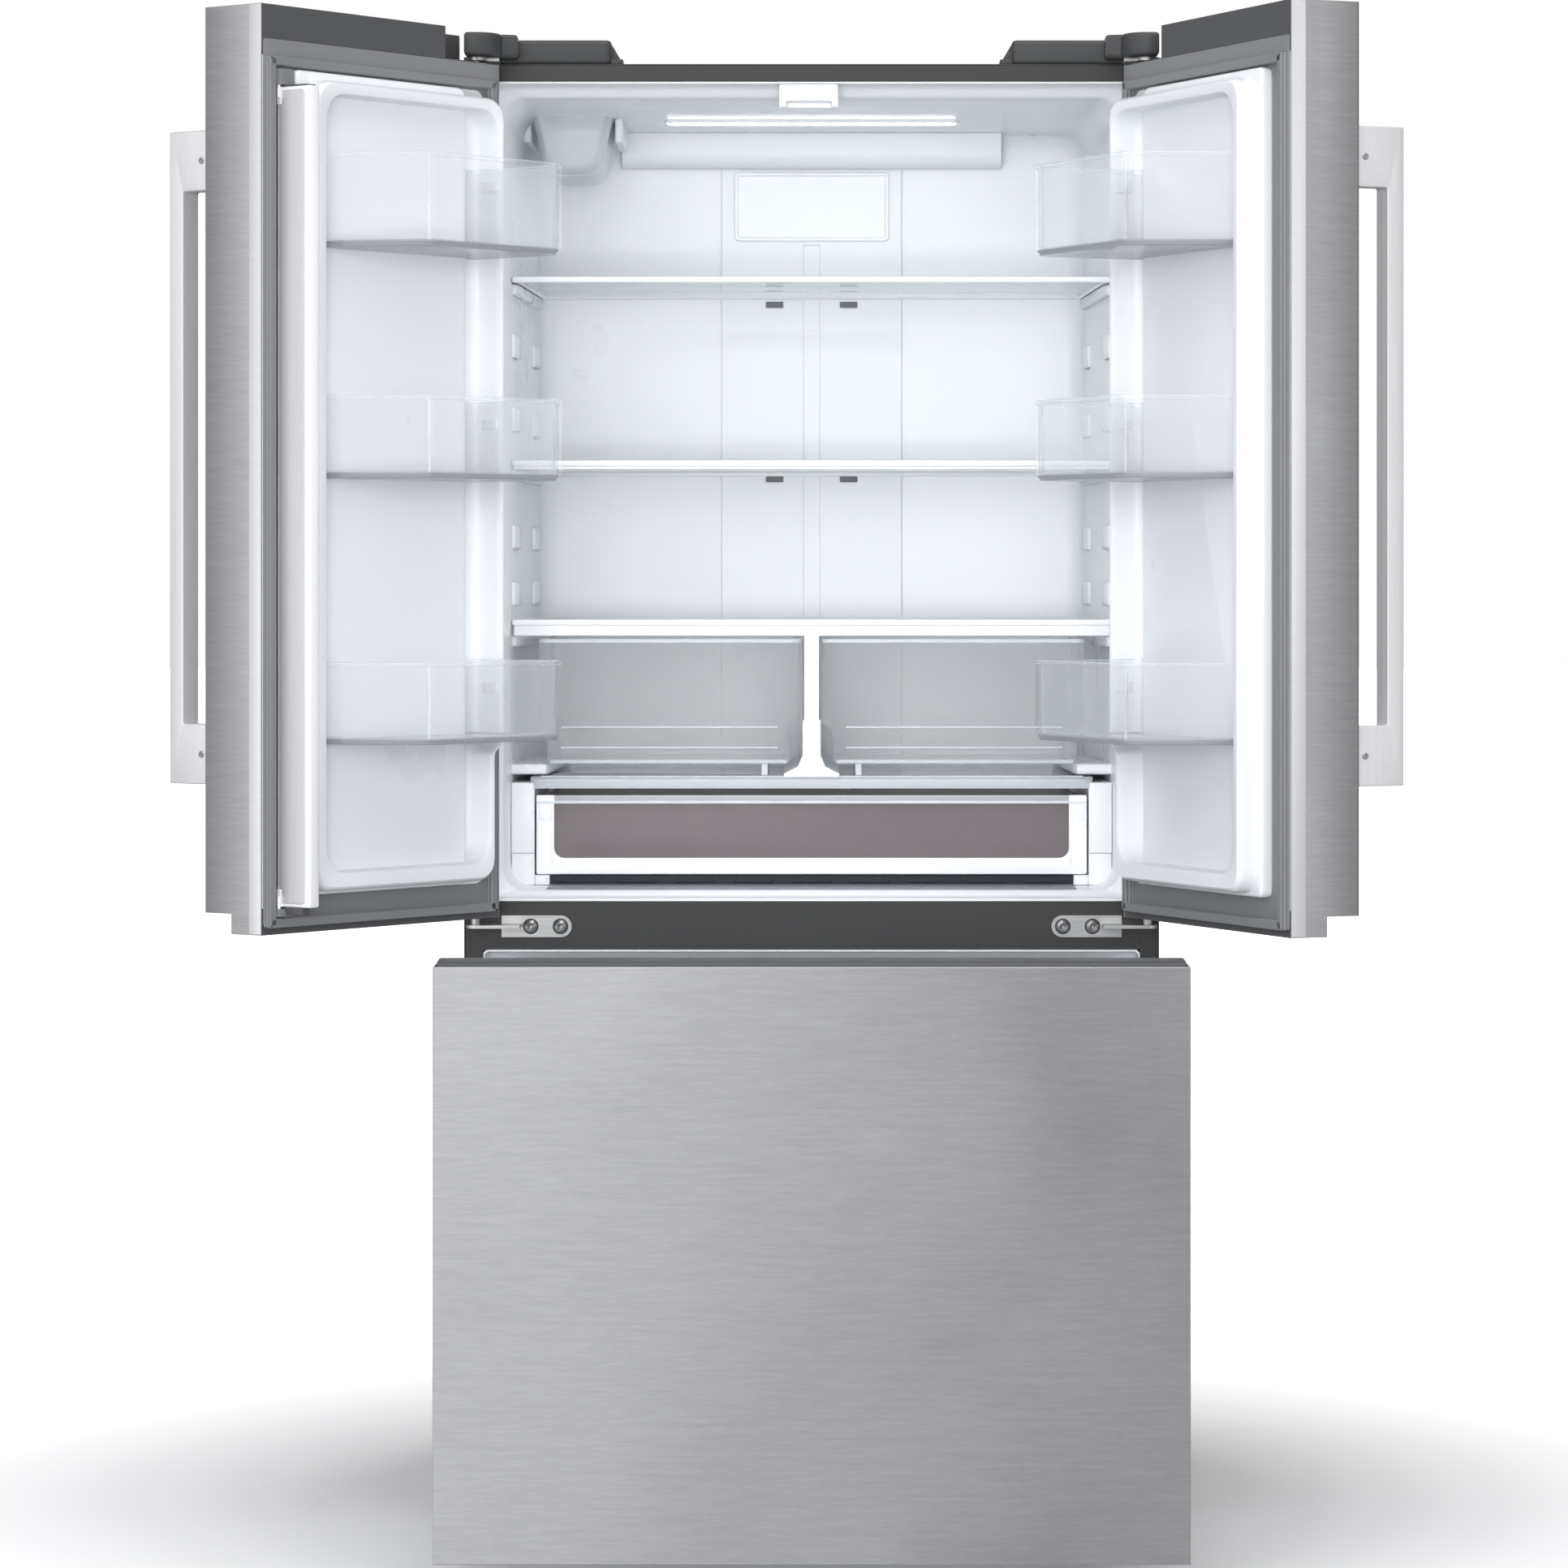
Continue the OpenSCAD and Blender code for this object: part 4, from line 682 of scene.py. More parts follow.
shelf_depths = (shelf_boxes[0].y - front_y, shelf_boxes[1].y - front_y)
pane_depths = (shelf_depths[0] + 0.0125, shelf_depths[1] - 0.0125)
shelf_glass = clear("shelf_glass", (0.80, 0.90, 0.90), 0.04, 0.10, 0.75)
for name, z, height in (("upper_shelf", 1.486, 0.008), ("middle_shelf", 1.258, 0.011),
                        ("crisper_cover", 1.054, 0.020)):
    top = z + height
    hole = shelf_plan((shelf_depths[0] + 0.012, shelf_depths[1] - 0.012), 0.011, 0.002)
    shapes = [ring_plate(shelf_plan(shelf_depths, 0.0016), hole, top - 0.0075, top, 0.0024)]
    for near, far, drop in ((0, 0.0035, height), (0.4, 0.4115, height + 0.001)):
        if height > 0.01:
            depths = (shelf_depths[0] + near + 0.0035, shelf_depths[0] + far + 0.006)
            shapes.append(slab(shelf_plan(depths, 0.004, 0.001), top - drop, top - 0.005, 0.0008))
    piece(name + "_rim", solid(name + "_rim", *shapes), white_trim, "root", "white_trim", "shelf_frames")
    pane = slab(shelf_plan(pane_depths, 0.0115, 0.002), top - 0.0040, top - 0.0004, 0.0006)
    piece(name + "_pane", solid(name + "_pane", pane), shelf_glass, "root", "shelf_glass", "shelf_glass")


# Crispers. Two clear injection moulded bins whose sides step in near the bottom, with a thick
# foot, two ribs across the front and a turned rim to pull on.
def tub(levels, wall, floor=None):
    """An open shell through rounded plans (z, x0, x1, y0, y1, r), from the foot up to the rim."""
    outside = [stand(rounded_rect((x0, y0), (x1, y1), r), z, 2) for z, x0, x1, y0, y1, r in levels]
    inside = [stand(rounded_rect((x0 + wall, y0 + wall), (x1 - wall, y1 - wall), max(r - wall, 0.001)),
                    max(z, levels[0][0] + (floor or wall)), 2)
              for z, x0, x1, y0, y1, r in reversed(levels) if z > levels[0][0] + 0.001 or z == levels[0][0]]
    return loft(outside + inside)


clear_plastic = clear("clear_plastic", (0.84, 0.88, 0.91), 0.08, 0.08, 0.80)
thick_clear = clear("thick_clear_plastic", (0.80, 0.84, 0.88), 0.10, 0.42, 0.95)
for side, node in ((-1, "left_crisper"), (1, "right_crisper")):
    low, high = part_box(node)
    x_in, x_out = min(abs(low.x), abs(high.x)), max(abs(low.x), abs(high.x))
    y0, y1 = low.y + 0.002, high.y

    def crisper_level(dz, step_in, step_out, front, r=0.012):
        xs = sorted((side * (x_in + step_in), side * (x_out - step_out)))
        return low.z + dz, xs[0], xs[1], y0 + front, y1 - 0.004, r

    levels = [crisper_level(0, 0.019, 0.015, 0.005), crisper_level(0.002, 0.0158, 0.0118, 0.002),
              crisper_level(0.006, 0.0142, 0.0102, 0.0005), crisper_level(0.034, 0.014, 0.010, 0),
              crisper_level(0.040, 0.011, 0.009, 0), crisper_level(0.047, 0.002, 0.001, 0),
              crisper_level(0.052, 0, 0, 0), crisper_level(0.148, 0, 0, 0), crisper_level(0.150, 0, 0, 0)]
    piece(node + "_tub", solid(node + "_tub", tub(levels, 0.0022)), clear_plastic, node, "clear_plastic",
          node)
    rim = [ring_plate(rounded_rect((levels[-1][1], y0 - 0.002), (levels[-1][2], y1 - 0.004), 0.012),
                      rounded_rect((levels[-1][1] + 0.004, y0 + 0.004),
                                   (levels[-1][2] - 0.004, y1 - 0.008), 0.008),
                      low.z + 0.148, high.z, 0.0012)]
    xs = sorted((side * (x_in + 0.030), side * (x_out - 0.028)))
    for z in (0.019, 0.044):
        rim.append(bar((xs[0], y0 - 0.001, low.z + z), (xs[1], y0 + 0.001, low.z + z + 0.0022), 0.0006))
    foot = crisper_level(0.0, 0.0185, 0.0145, 0.0)
    rim.append(bar((foot[1], y0 - 0.001, low.z + 0.0004), (foot[2], y0 + 0.004, low.z + 0.0050), 0.0015))
    piece(node + "_rim", solid(node + "_rim", *rim), thick_clear, node, "clear_plastic")


# Runner between the crispers and the lid they stand on. A white moulded post on a swelling foot
# stands on a clear lid with rounded front corners and a turned-down lip.
rail_low, rail_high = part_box("crisper_rail")
lid_low, lid_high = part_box("deli_lid")
half_post = [(0.034, 0), (0.034, 0.004), (0.026, 0.008), (0.0165, 0.013), (0.0105, 0.028), (0.009, 0.044),
             (0.009, rail_high.z - rail_low.z)]
post = rounded([(x, rail_low.z + z) for x, z in half_post] + [(-x, rail_low.z + z) for x,
                                                              z in reversed(half_post)],
               0.0007, 1)
runner = [slab(post, rail_low.y, rail_high.y, 0.0008, along=1)]
for side in (-1, 1):
    runner.append(bar((side * 0.054, rail_low.y + 0.058, lid_high.z), (side * 0.062, rail_low.y + 0.338,
                                                                       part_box("left_crisper")[0].z - 0.0004), 0.001))
    runner.append(bar((side * 0.0112, rail_low.y - 0.002, rail_low.z + 0.020),
                      (side * 0.006, rail_low.y + 0.004,
                                                                              rail_low.z + 0.070), 0.0018))
runner.append(bar((-0.003, rail_low.y - 0.0012, rail_low.z + 0.052),
                  (0.003, rail_low.y + 0.002, rail_high.z - 0.006),
                  0.0008))
piece("crisper_runner", solid("crisper_runner", *runner), white_trim, "root", "white_trim", "crisper_rail")
lid_plan = rounded([(lid_high.x, lid_high.y), (lid_low.x, lid_high.y), (lid_low.x, lid_low.y),
                    (lid_high.x, lid_low.y)], [0.003, 0.003, 0.014, 0.014], 5)
lid = [slab(lid_plan, lid_high.z - 0.0035, lid_high.z, 0.001),
       ring_plate(lid_plan, inset(lid_plan, 0.0026), lid_high.z - 0.014, lid_high.z - 0.003, 0.0009),
       ring_plate(inset(lid_plan, 0.012), inset(lid_plan, 0.0145), lid_high.z - 0.0005,
                  lid_high.z + 0.0012, 0.0005)]
piece("deli_drawer_lid", solid("deli_drawer_lid", *lid), thick_clear, "root", "clear_plastic", "deli_lid")


# Deli drawer between its white side blocks. A smoke tinted tub hangs behind a white front with a
# window and a clear upper edge; a near-black slotted strip under it and a blue-grey floor sheet in front are painted
# shade.
deli_low, deli_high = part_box("deli_front")
rails_low, rails_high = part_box("deli_rails")
side_blocks = []
for side in (-1, 1):
    x_in = deli_high.x + 0.0022
    near, far = wall_x(shelf_depths[0] + 0.006) - 0.0004, wall_x(shelf_depths[0] + 0.38) - 0.0004
    y0, y1 = rails_low.y, rails_high.y
    upper = rounded([(side * far, y1), (side * x_in, y1), (side * x_in, y0 - 0.002),
                     (side * near, y0 - 0.002)][::side],
                    [0.001, 0.001, 0.002, 0.002][::side])
    side_blocks.append(slab(upper, 0.788, rails_high.z, 0.0012))
    front = rounded([(side * (near - 0.0004), 0.7885), (side * x_in, 0.7885),
                     (side * x_in, rails_low.z + 0.0004),
                     (side * (near - 0.0004), rails_low.z + 0.0004)][::side],
                    [0.001, 0.001, 0.002, 0.016][::side], 5)
    side_blocks.append(slab(front, y0, y0 + 0.030, 0.0015, along=1))
    side_blocks.append(bar((side * x_in, y0 + 0.003, rails_low.z + 0.0004),
                           (side * (deli_high.x - 0.016), y0 + 0.02,
                                                                            deli_low.z - 0.001), 0.001))
    side_blocks.append(bar((side * (far + 0.001), y0 + 0.03, rails_low.z + 0.0004),
                           (side * x_in, y1, 0.789), 0.001))
piece("deli_side_blocks", solid("deli_side_blocks", *side_blocks), white_liner, "root", "white_liner",
      "deli_rails")

smoked = clear("smoked_plastic", (0.30, 0.26, 0.275), 0.12, 0.42, 0.92)
body_low, body_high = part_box("deli_drawer")
tub_levels = [(body_low.z, body_low.x + 0.006, body_high.x - 0.006, body_low.y + 0.004,
               body_high.y - 0.006, 0.014),
              (body_low.z + 0.003, body_low.x + 0.002, body_high.x - 0.002, body_low.y + 0.001,
               body_high.y - 0.003,
               0.014),
              (body_low.z + 0.010, body_low.x + 0.001, body_high.x - 0.001, body_low.y,
               body_high.y - 0.002, 0.014),
              (body_high.z, body_low.x, body_high.x, body_low.y, body_high.y, 0.014)]
piece("deli_tub", solid("deli_tub", tub(tub_levels, 0.0022)), smoked, "deli_drawer", "smoked_plastic",
      "deli_drawer")
x_in, z_in = deli_high.x - 0.022, deli_low.z + 0.020
frame_outline = rounded([(deli_high.x, deli_high.z), (x_in, deli_high.z), (x_in, z_in), (-x_in, z_in),
                         (-x_in, deli_high.z), (deli_low.x, deli_high.z), (deli_low.x, deli_low.z),
                         (deli_high.x, deli_low.z)],
                        [0.002, 0.0015, 0.012, 0.012, 0.0015, 0.002, 0.003, 0.003])
front = [slab(frame_outline, deli_low.y + 0.0005, deli_high.y, 0.0012, along=1)]
for side in (-1, 1):
    front.append(bar((side * (deli_high.x - 0.004), deli_low.y - 0.0006, deli_low.z + 0.066),
                     (side * (deli_high.x - 0.018), deli_low.y + 0.001, deli_low.z + 0.086), 0.0005))
    front.append(bar((side * (deli_high.x - 0.0185), deli_low.y - 0.0006, deli_low.z + 0.012),
                     (side * (deli_high.x - 0.0215), deli_low.y + 0.001, deli_high.z - 0.012), 0.0004))
piece("deli_front_frame", solid("deli_front_frame", *front), white_trim, "deli_drawer", "white_trim",
      "deli_front")
lip = [bar((-x_in - 0.001, deli_low.y + 0.001, deli_high.z - 0.0105),
           (x_in + 0.001, deli_high.y, deli_high.z - 0.0003),
           0.0012),
       bar((deli_low.x + 0.001, deli_low.y - 0.0012, deli_high.z - 0.0105),
           (deli_high.x - 0.001, deli_low.y + 0.0015,
                                                                            deli_high.z - 0.0075), 0.0008)]
piece("deli_front_lip", solid("deli_front_lip", *lip), thick_clear, "deli_drawer", "clear_plastic")

# A near-black slotted strip in the gap under the deli drawer: painted shade of the gap.
gap_shade_dark = grained("gap_shade_plastic", (0.028, 0.034, 0.044), 0.5, scale=800, bump=0.1)
half_strip = deli_high.x - 0.0165
gap_shade_bars = [bar((-half_strip, rails_low.y + 0.006, rails_low.z + 0.0006), (half_strip, rails_low.y + 0.009,
                                                                         deli_low.z - 0.0015), 0.0005)]
for k in range(9):
    x = -half_strip + (k + 0.5) * 2 * half_strip / 9
    gap_shade_bars.append(bar((x - 0.024, rails_low.y + 0.002, rails_low.z + 0.0035),
                       (x + 0.024, rails_low.y + 0.007,
                                                                              rails_low.z + 0.0080),
                       0.0012))
gap_shade_bars.append(bar((-half_strip, rails_low.y + 0.001, rails_low.z + 0.0006),
                   (half_strip, rails_low.y + 0.007,
                                                                             rails_low.z + 0.0022), 0.0005))
piece("floor_gap_shade_strip", solid("floor_gap_shade_strip", *gap_shade_bars), gap_shade_dark, "root", "dark_plastic")
# A blue-grey sheet on the liner floor in front of the deli drawer: painted shade.
floor_shade_grey = grained("floor_shade_plastic", (0.20, 0.22, 0.26), 0.4, scale=800, bump=0.1)
step = bar((-half_strip, front_y + flare_depth + 0.006, rails_low.z + 0.0003),
           (half_strip, rails_low.y + 0.002,
                                                                              rails_low.z + 0.0018), 0.0005)
piece("floor_shade_sheet", solid("floor_shade_sheet", step), floor_shade_grey, "root", "dark_plastic")


# Hinge brackets, their screws and the top covers. The brackets are pressed from zinc plated
# steel, the button screws sit on thin black discs and have hexagon sockets filled with black as painted shade, and
# dark moulded covers snap over the top pair.
def lathe(profile, at, towards, steps=20):
    """A shape turned from a profile of (radius, height) about an axis through a point."""
    spin = Vector((0, 0, 1)).rotation_difference(Vector(towards)).to_matrix()
    return loft([[tuple(Vector(at) + spin @ Vector((r * math.cos(t), r * math.sin(t), h)))
                  for t in (2 * math.pi * k / steps for k in range(steps))] for r, h in profile])


dress("hinge_plates", zinc, 0.0009)
screw_steel = metal("screw_steel", (0.50, 0.50, 0.50), 0.30, 300, (1.0, 1.0, 1.0), bump=0.1)
heads, discs_and_socket_shade = [], []
for side in (-1, 1):
    for x in (0.3005, 0.336):
        at = (side * x, front_y - 0.003, 0.708)
        heads.append(lathe([(0.0001, 0), (0.0078, 0), (0.0080, 0.0006), (0.0072, 0.0022), (0.0052, 0.0036),
                            (0.0040, 0.0040), (0.0036, 0.0038), (0.0001, 0.0037)], at, (0, -1, 0)))
        discs_and_socket_shade.append(lathe([(0.0001, 0), (0.0094, 0), (0.0094, 0.0005), (0.0001, 0.0006)], at,
                             (0, -1, 0)))
        # Black hexagons fill the screw sockets: painted shade in the sockets.
        discs_and_socket_shade.append(lathe([(0.0001, 0.0030), (0.0034, 0.0030), (0.0034, 0.0041), (0.0026, 0.0041),
                              (0.0024, 0.0036), (0.0001, 0.0035)], at, (0, -1, 0), 6))
    for x in (0.310, 0.380):
        heads.append(lathe([(0.0001, 0), (0.006, 0), (0.006, 0.002), (0.005, 0.004), (0.0001, 0.004)],
                           (side * x, front_y + 0.045, 1.744), (0, 0, 1)))
piece("hinge_screw_heads", solid("hinge_screw_heads", *heads), screw_steel, "root", "zinc_steel",
      "hinge_screws")
piece("hinge_screw_discs_and_socket_shade", solid("hinge_screw_discs_and_socket_shade", *discs_and_socket_shade), nylon, "root", "zinc_steel")

cover_plastic = grained("hinge_cover_plastic", (0.045, 0.047, 0.049), 0.46, scale=600, bump=0.12,
                        spread=0.08)
cover_low, cover_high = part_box("hinge_covers")
hinge = frame["joints"][0]["pos_m"]
covers = []
for side in (-1, 1):
    nose = []
    for k in range(17):
        turn = math.pi * (1.0 + k / 16)
        nose.append((hinge[0] + 0.032 * math.cos(turn), hinge[1] + 0.032 * math.sin(turn)))
    nose = [(max(x, cover_low.x), y) for x, y in nose if x > cover_low.x - 0.004]
    nose = [(cover_low.x, front_y + 0.010)] + nose + [(-0.350, hinge[1] + 0.004), (-0.350, front_y + 0.010)]
    box_plan = rounded([(-0.240, front_y + 0.078), (cover_low.x, front_y + 0.078),
                        (cover_low.x, front_y + 0.003),
                        (-0.240, front_y + 0.003)], [0.006, 0.006, 0.002, 0.007], 4)
    flip = Matrix.Diagonal((-side, 1, 1, 1))
    for plan, low, high in ((nose, 1.7443, cover_high.z), (box_plan, 1.7402, cover_high.z - 0.003)):
        points, faces = slab(plan, low, high, 0.0042)
        covers.append(([tuple(flip @ Vector(p)) for p in points], faces))
    ear = [bar((-0.245, front_y + 0.010, 1.7402), (-0.226, front_y + 0.068, 1.7468), 0.0012),
           slab([(-0.2415, 1.7405), (-0.2295, 1.7465), (-0.2295, 1.7475), (-0.2415, 1.768)],
                front_y + 0.018,
                front_y + 0.024, 0.0004, along=1)]
    covers += [([tuple(flip @ Vector(p)) for p in points], faces) for points, faces in ear]
    covers.append(lathe([(0.0001, 0), (0.0048, 0), (0.0044, 0.0024), (0.0001, 0.003)],
                        (-side * -0.232, front_y + 0.040, 1.7465), (0, 0, 1)))
piece("top_hinge_covers", solid("top_hinge_covers", *covers), cover_plastic, "root", "dark_plastic",
      "hinge_covers")


# Door skins and end caps. Each door is wrapped in one folded sheet of stainless steel, brushed
# level, with a near-white strip along the free edge as painted highlight of the bend; moulded caps close both ends.
# Near-white steel for the free edge strip: painted highlight.
edge_highlight = metal("edge_highlight_steel", (0.97, 0.97, 0.975), 0.34, 900, LEVEL, bump=0.05, contrast=0.02,
                    metallic=0.75)
cap_plastic = grained("door_cap_plastic", (0.085, 0.087, 0.091), 0.48, scale=600, bump=0.1, spread=0.07)
hinge_in = 0.016
door_depth, door_width, fold_t = 0.088, 0.4145, 0.0015
door_foot, step_foot, notch_top, door_top = 0.721, 0.744, 1.736, 1.774
step_back, notch_back = -0.046, -0.062
back_offset = 0.0235
places = {}
for side, joint in (("left", frame["joints"][0]), ("right", frame["joints"][1])):
    pin = Vector(joint["pos_m"])
    pin.x, pin.z = -abs(pin.x), 0
    swung = (Matrix.Translation(pin) @ Matrix.Rotation(math.radians(joint["range_deg"][0]), 4, "Z")
             @ Matrix.Translation((-hinge_in, back_offset, 0)))
    places[side] = swung if side == "left" else Matrix.Diagonal((-1, 1, 1, 1)) @ swung
for side, body in (("left", "left_door"), ("right", "right_door")):
    inward = (places[side].to_3x3() @ Vector((0, 1, 0))).normalized()
    middle_depth = inward.dot(places[side] @ Vector((0, -door_depth / 2, 0)))
    skin_steel = metal(side + "_door_steel", (0.60, 0.60, 0.605), 0.36, 900, LEVEL, bump=0.10,
                       contrast=0.07,
                       crown=(tuple(inward), middle_depth, door_depth / 2, 0.09))
    shapes = []
    for low, high, left_back, right_back in ((step_foot, notch_top, 0, 0),
                                             (notch_top, door_top, notch_back, 0)):
        fold = rounded([(door_width, right_back), (door_width - fold_t, right_back),
                        (door_width - fold_t, fold_t - door_depth), (fold_t, fold_t - door_depth),
                        (fold_t, left_back), (0, left_back), (0, -door_depth), (door_width, -door_depth)],
                       [0.0003, 0.0003, 0.0022, 0.0022, 0.0003, 0.0003, 0.0036, 0.0036], 5)
        shapes.append(slab(fold, low, high, 0))
    for u in (0, door_width - fold_t):
        shapes.append(slab(rounded([(u + fold_t, 0), (u, 0), (u, step_back), (u + fold_t, step_back)],
                                   0.0002, 1),
                           door_foot, step_foot, 0))
    piece(side + "_skin", solid(side + "_skin", *shapes, where=places[side]), skin_steel, body, "stainless",
          side + "_door_skin")
    dress(side + "_door_caps", cap_plastic, 0.0012)
    # A thin near-white plate on the free edge beside the liner: painted highlight where the sheet bends.
    strip = bar((door_width - 0.0004, -0.0185, 0.7225), (door_width + 0.0002, -0.0006, 1.7728), 0.0002,
                along=0)
    piece(side + "_edge_highlight_strip", solid(side + "_edge_highlight_strip", strip, where=places[side]), edge_highlight, body,
          "stainless")


# Door liners. One thermoformed white sheet per door: a raised rounded dike round a deep well,
# a low shoulder outside it, faint stiffening ribs and pegs for the bins.
dike_low, dike_high = (0.030, 0.764), (0.372, 1.701)
well_low, well_high = (0.043, 0.790), (0.345, 1.675)
step_z, step_u = 0.918, 0.016


def six_sided(low, high, step, r, step_r=0.010):
    """A rounded plan whose hinge side steps in below the step height."""
    return rounded([(high[0], high[1]), (low[0], high[1]), (low[0], step_z + 0.012),
                    (low[0] + step, step_z),
                    (low[0] + step, low[1]), (high[0], low[1])], [r, r, step_r, step_r, r, r], 5)


def grown(outline, d):
    return inset(outline, -d)


flange = six_sided((0.0018, 0.7515), (0.4127, 1.7155), 0.0004, 0.001, 0.001)
dike = six_sided((0.0325, 0.7685), (0.3615, 1.6905), step_u, 0.026)
shoulder = rounded([(dike_high[0], dike_high[1]), (0.078, dike_high[1]), (0.078, dike_low[1]),
                    (dike_high[0], dike_low[1])], [0.008, 0.012, 0.012, 0.008])
well = six_sided(well_low, well_high, step_u, 0.030)
liner_rings = [(flange, -0.0025), (flange, 0), (grown(dike, 0.0015), 0.0002), (grown(dike, 0.0004), 0.004),
               (inset(dike, 0.0003), 0.030), (inset(dike, 0.0014), 0.0345), (inset(dike, 0.0036), 0.0370),
               (inset(dike, 0.0048), 0.0380)]
well_rings = [(grown(well, 0.0030), 0.0380), (grown(well, 0.0012), 0.0372), (grown(well, 0.0002), 0.0345),
              (well, 0.0300), (inset(well, 0.0015), 0.0100), (inset(well, 0.0035), 0.0045),
              (inset(well, 0.0080), 0.0012),
              (inset(well, 0.0140), 0.0002)]
gasket_rubber = grained("gasket_rubber", (0.215, 0.22, 0.228), 0.62, scale=900, bump=0.15, spread=0.06,
                        wear=0.15)
for side, body in (("left", "left_door"), ("right", "right_door")):
    where = places[side]
    shapes = [loft([stand(outline, v, 1) for outline, v in liner_rings + well_rings])]
    shapes.append(slab(shoulder, -0.001, 0.0155, 0.0040, along=1))
    for u in (0.100, 0.170, 0.240, 0.300):
        shapes.append(slab(rounded([(u + 0.006, 1.630), (u, 1.630), (u, 0.835), (u + 0.006, 0.835)],
                                   0.0025),
                           -0.001, 0.0009, 0.0006, along=1))
    for z in (1.580, 1.300, 0.990):
        for a, b in ((0.0425, 0.0462), (0.3418, 0.3455)):
            shapes.append(bar((a, 0.012, z), (b, 0.034, z + 0.012), 0.001, along=0))
    piece(side + "_liner", solid(side + "_liner", *shapes, where=where), white_liner, body, "white_liner",
          side + "_door_liner")
    base = ring_plate(rounded_rect((0.0026, 0.731), (0.4118, 1.7345), 0.004, 5),
                      rounded_rect((0.029, 0.7632),
                      (0.3726, 1.7018), 0.015, 5), 0.00015, 0.0016, 0.0004, along=1)
    path = rounded_rect((0.0165, 0.729), (0.4120, 1.7150), 0.003, 3)
    profile = [(0.0006, 0.0010), (0.0016, 0.0030), (0.0002, 0.0052), (0.0014, 0.0078), (0.0004, 0.0104),
               (0.0014, 0.0117), (0.0100, 0.0117), (0.0112, 0.0104), (0.0100, 0.0078), (0.0114, 0.0052),
               (0.0102, 0.0030), (0.0110, 0.0010)]
    bellows = loft([stand(inset(path, d), v, 1) for d, v in profile], around=True)
    piece(side + "_gasket_ring", solid(side + "_gasket_ring", base, bellows, where=where), gasket_rubber,
          body,
          "gasket", side + "_gasket")


# Door handles. Each is a flat bar and two deep posts of satin finished aluminium, brushed
# upright, fixed to studs by a set screw in the side of each post.
satin = metal("satin_aluminium", (0.84, 0.84, 0.85), 0.42, 900, UPRIGHT, bump=0.05, contrast=0.03,
              metallic=0.6)
handle_low, handle_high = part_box("left_handle")
post_tall, bar_thick, bar_out = 0.0686, 0.021, 0.060
u0, u1 = 0.3825, 0.4085
v0 = -door_depth - bar_out
for side, body in (("left", "left_door"), ("right", "right_door")):
    z0, z1 = handle_low.z, handle_high.z
    outline = rounded([(v0, z0), (-door_depth, z0), (-door_depth, z0 + post_tall),
                       (v0 + bar_thick, z0 + post_tall),
                       (v0 + bar_thick, z1 - post_tall), (-door_depth, z1 - post_tall), (-door_depth, z1),
                       (v0, z1)],
                      [0.0016, 0.0016, 0.0016, 0.0025, 0.0025, 0.0016, 0.0016, 0.0016], 4)
    made = slab(outline, u0, u1, 0.0014, along=0)
    piece(side + "_bar_handle", solid(side + "_bar_handle", made, where=places[side]), satin, body,
          "satin_handle",
          side + "_handle")
    screws = []
    for z in (z0 + post_tall / 2, z1 - post_tall / 2):
        screws.append(lathe([(0.0001, -0.002), (0.0040, -0.002), (0.0040, 0.0006), (0.0034, 0.0012),
                             (0.0019, 0.0012),
                             (0.0017, 0.0002), (0.0001, 0.0001)], (u1, -door_depth - 0.010, z), (1, 0, 0),
                            16))
    piece(side + "_handle_screws", solid(side + "_handle_screws", *screws, where=places[side]),
          screw_steel, body,
          "zinc_steel")


# Door bins. Three clear moulded trays per door with a rolled rim, an upright stiffening rib at
# each front corner and a smoky thicker base, hung on the pegs of the liner.
def bin_plan(d, back=0.0):
    """The plan of a bin drawn in by d: square at the hinge side, tapering at the free side."""
    return rounded([(0.047 + d, 0.0018 + back), (0.341 - d, 0.0018 + back), (0.341 - d, 0.055),
                    (0.300 - d, 0.150 - d),
                    (0.0600 + d, 0.150 - d), (0.047 + d, 0.045)],
                   [0.004, 0.004, 0.008, 0.022, 0.022, 0.008], 5)


base_grey = clear("bin_base_plastic", (0.36, 0.38, 0.41), 0.15, 0.62, 0.95)
for side, body in (("left", "left_door"), ("right", "right_door")):
    for name, z0, z1 in (("top", 1.501, 1.607), ("middle", 1.238, 1.332), ("bottom", 0.936, 1.029)):
        shell = [(0.0030, z0 + 0.0032), (0.0012, z0 + 0.006), (0.0008, z0 + 0.014), (0.0002, z1 - 0.0070),
                 (-0.0004, z1 - 0.0055), (-0.0020, z1 - 0.0045), (-0.0024, z1 - 0.0030),
                 (-0.0022, z1 - 0.0008),
                 (-0.0012, z1), (0.0008, z1), (0.0020, z1 - 0.0010), (0.0024, z1 - 0.006),
                 (0.0030, z0 + 0.016),
                 (0.0036, z0 + 0.008), (0.0060, z0 + 0.0055)]
        rings = [stand(bin_plan(d, max(d, 0)), z, 2) for d, z in shell]
        inner_step = [loft(rings)]
        for u, v in ((0.0632, 0.1470), (0.2945, 0.1470)):
            inner_step.append(bar((u - 0.0010, v - 0.003, z0 + 0.006),
                                  (u + 0.0010, v + 0.0012, z1 - 0.004), 0.0006))
        title = side + "_" + name + "_bin"
        piece(title, solid(title, *inner_step, where=places[side]), clear_plastic, body, "clear_plastic",
              side + "_bins")
        under = [slab(bin_plan(0.0012, 0.001), z0, z0 + 0.0050, 0.0012),
                 ring_plate(bin_plan(-0.0004), bin_plan(0.0022, 0.0022), z0 + 0.0036, z0 + 0.0066, 0.0005)]
        piece(title + "_base", solid(title + "_base", *under, where=places[side]), base_grey, body,
              "clear_plastic")


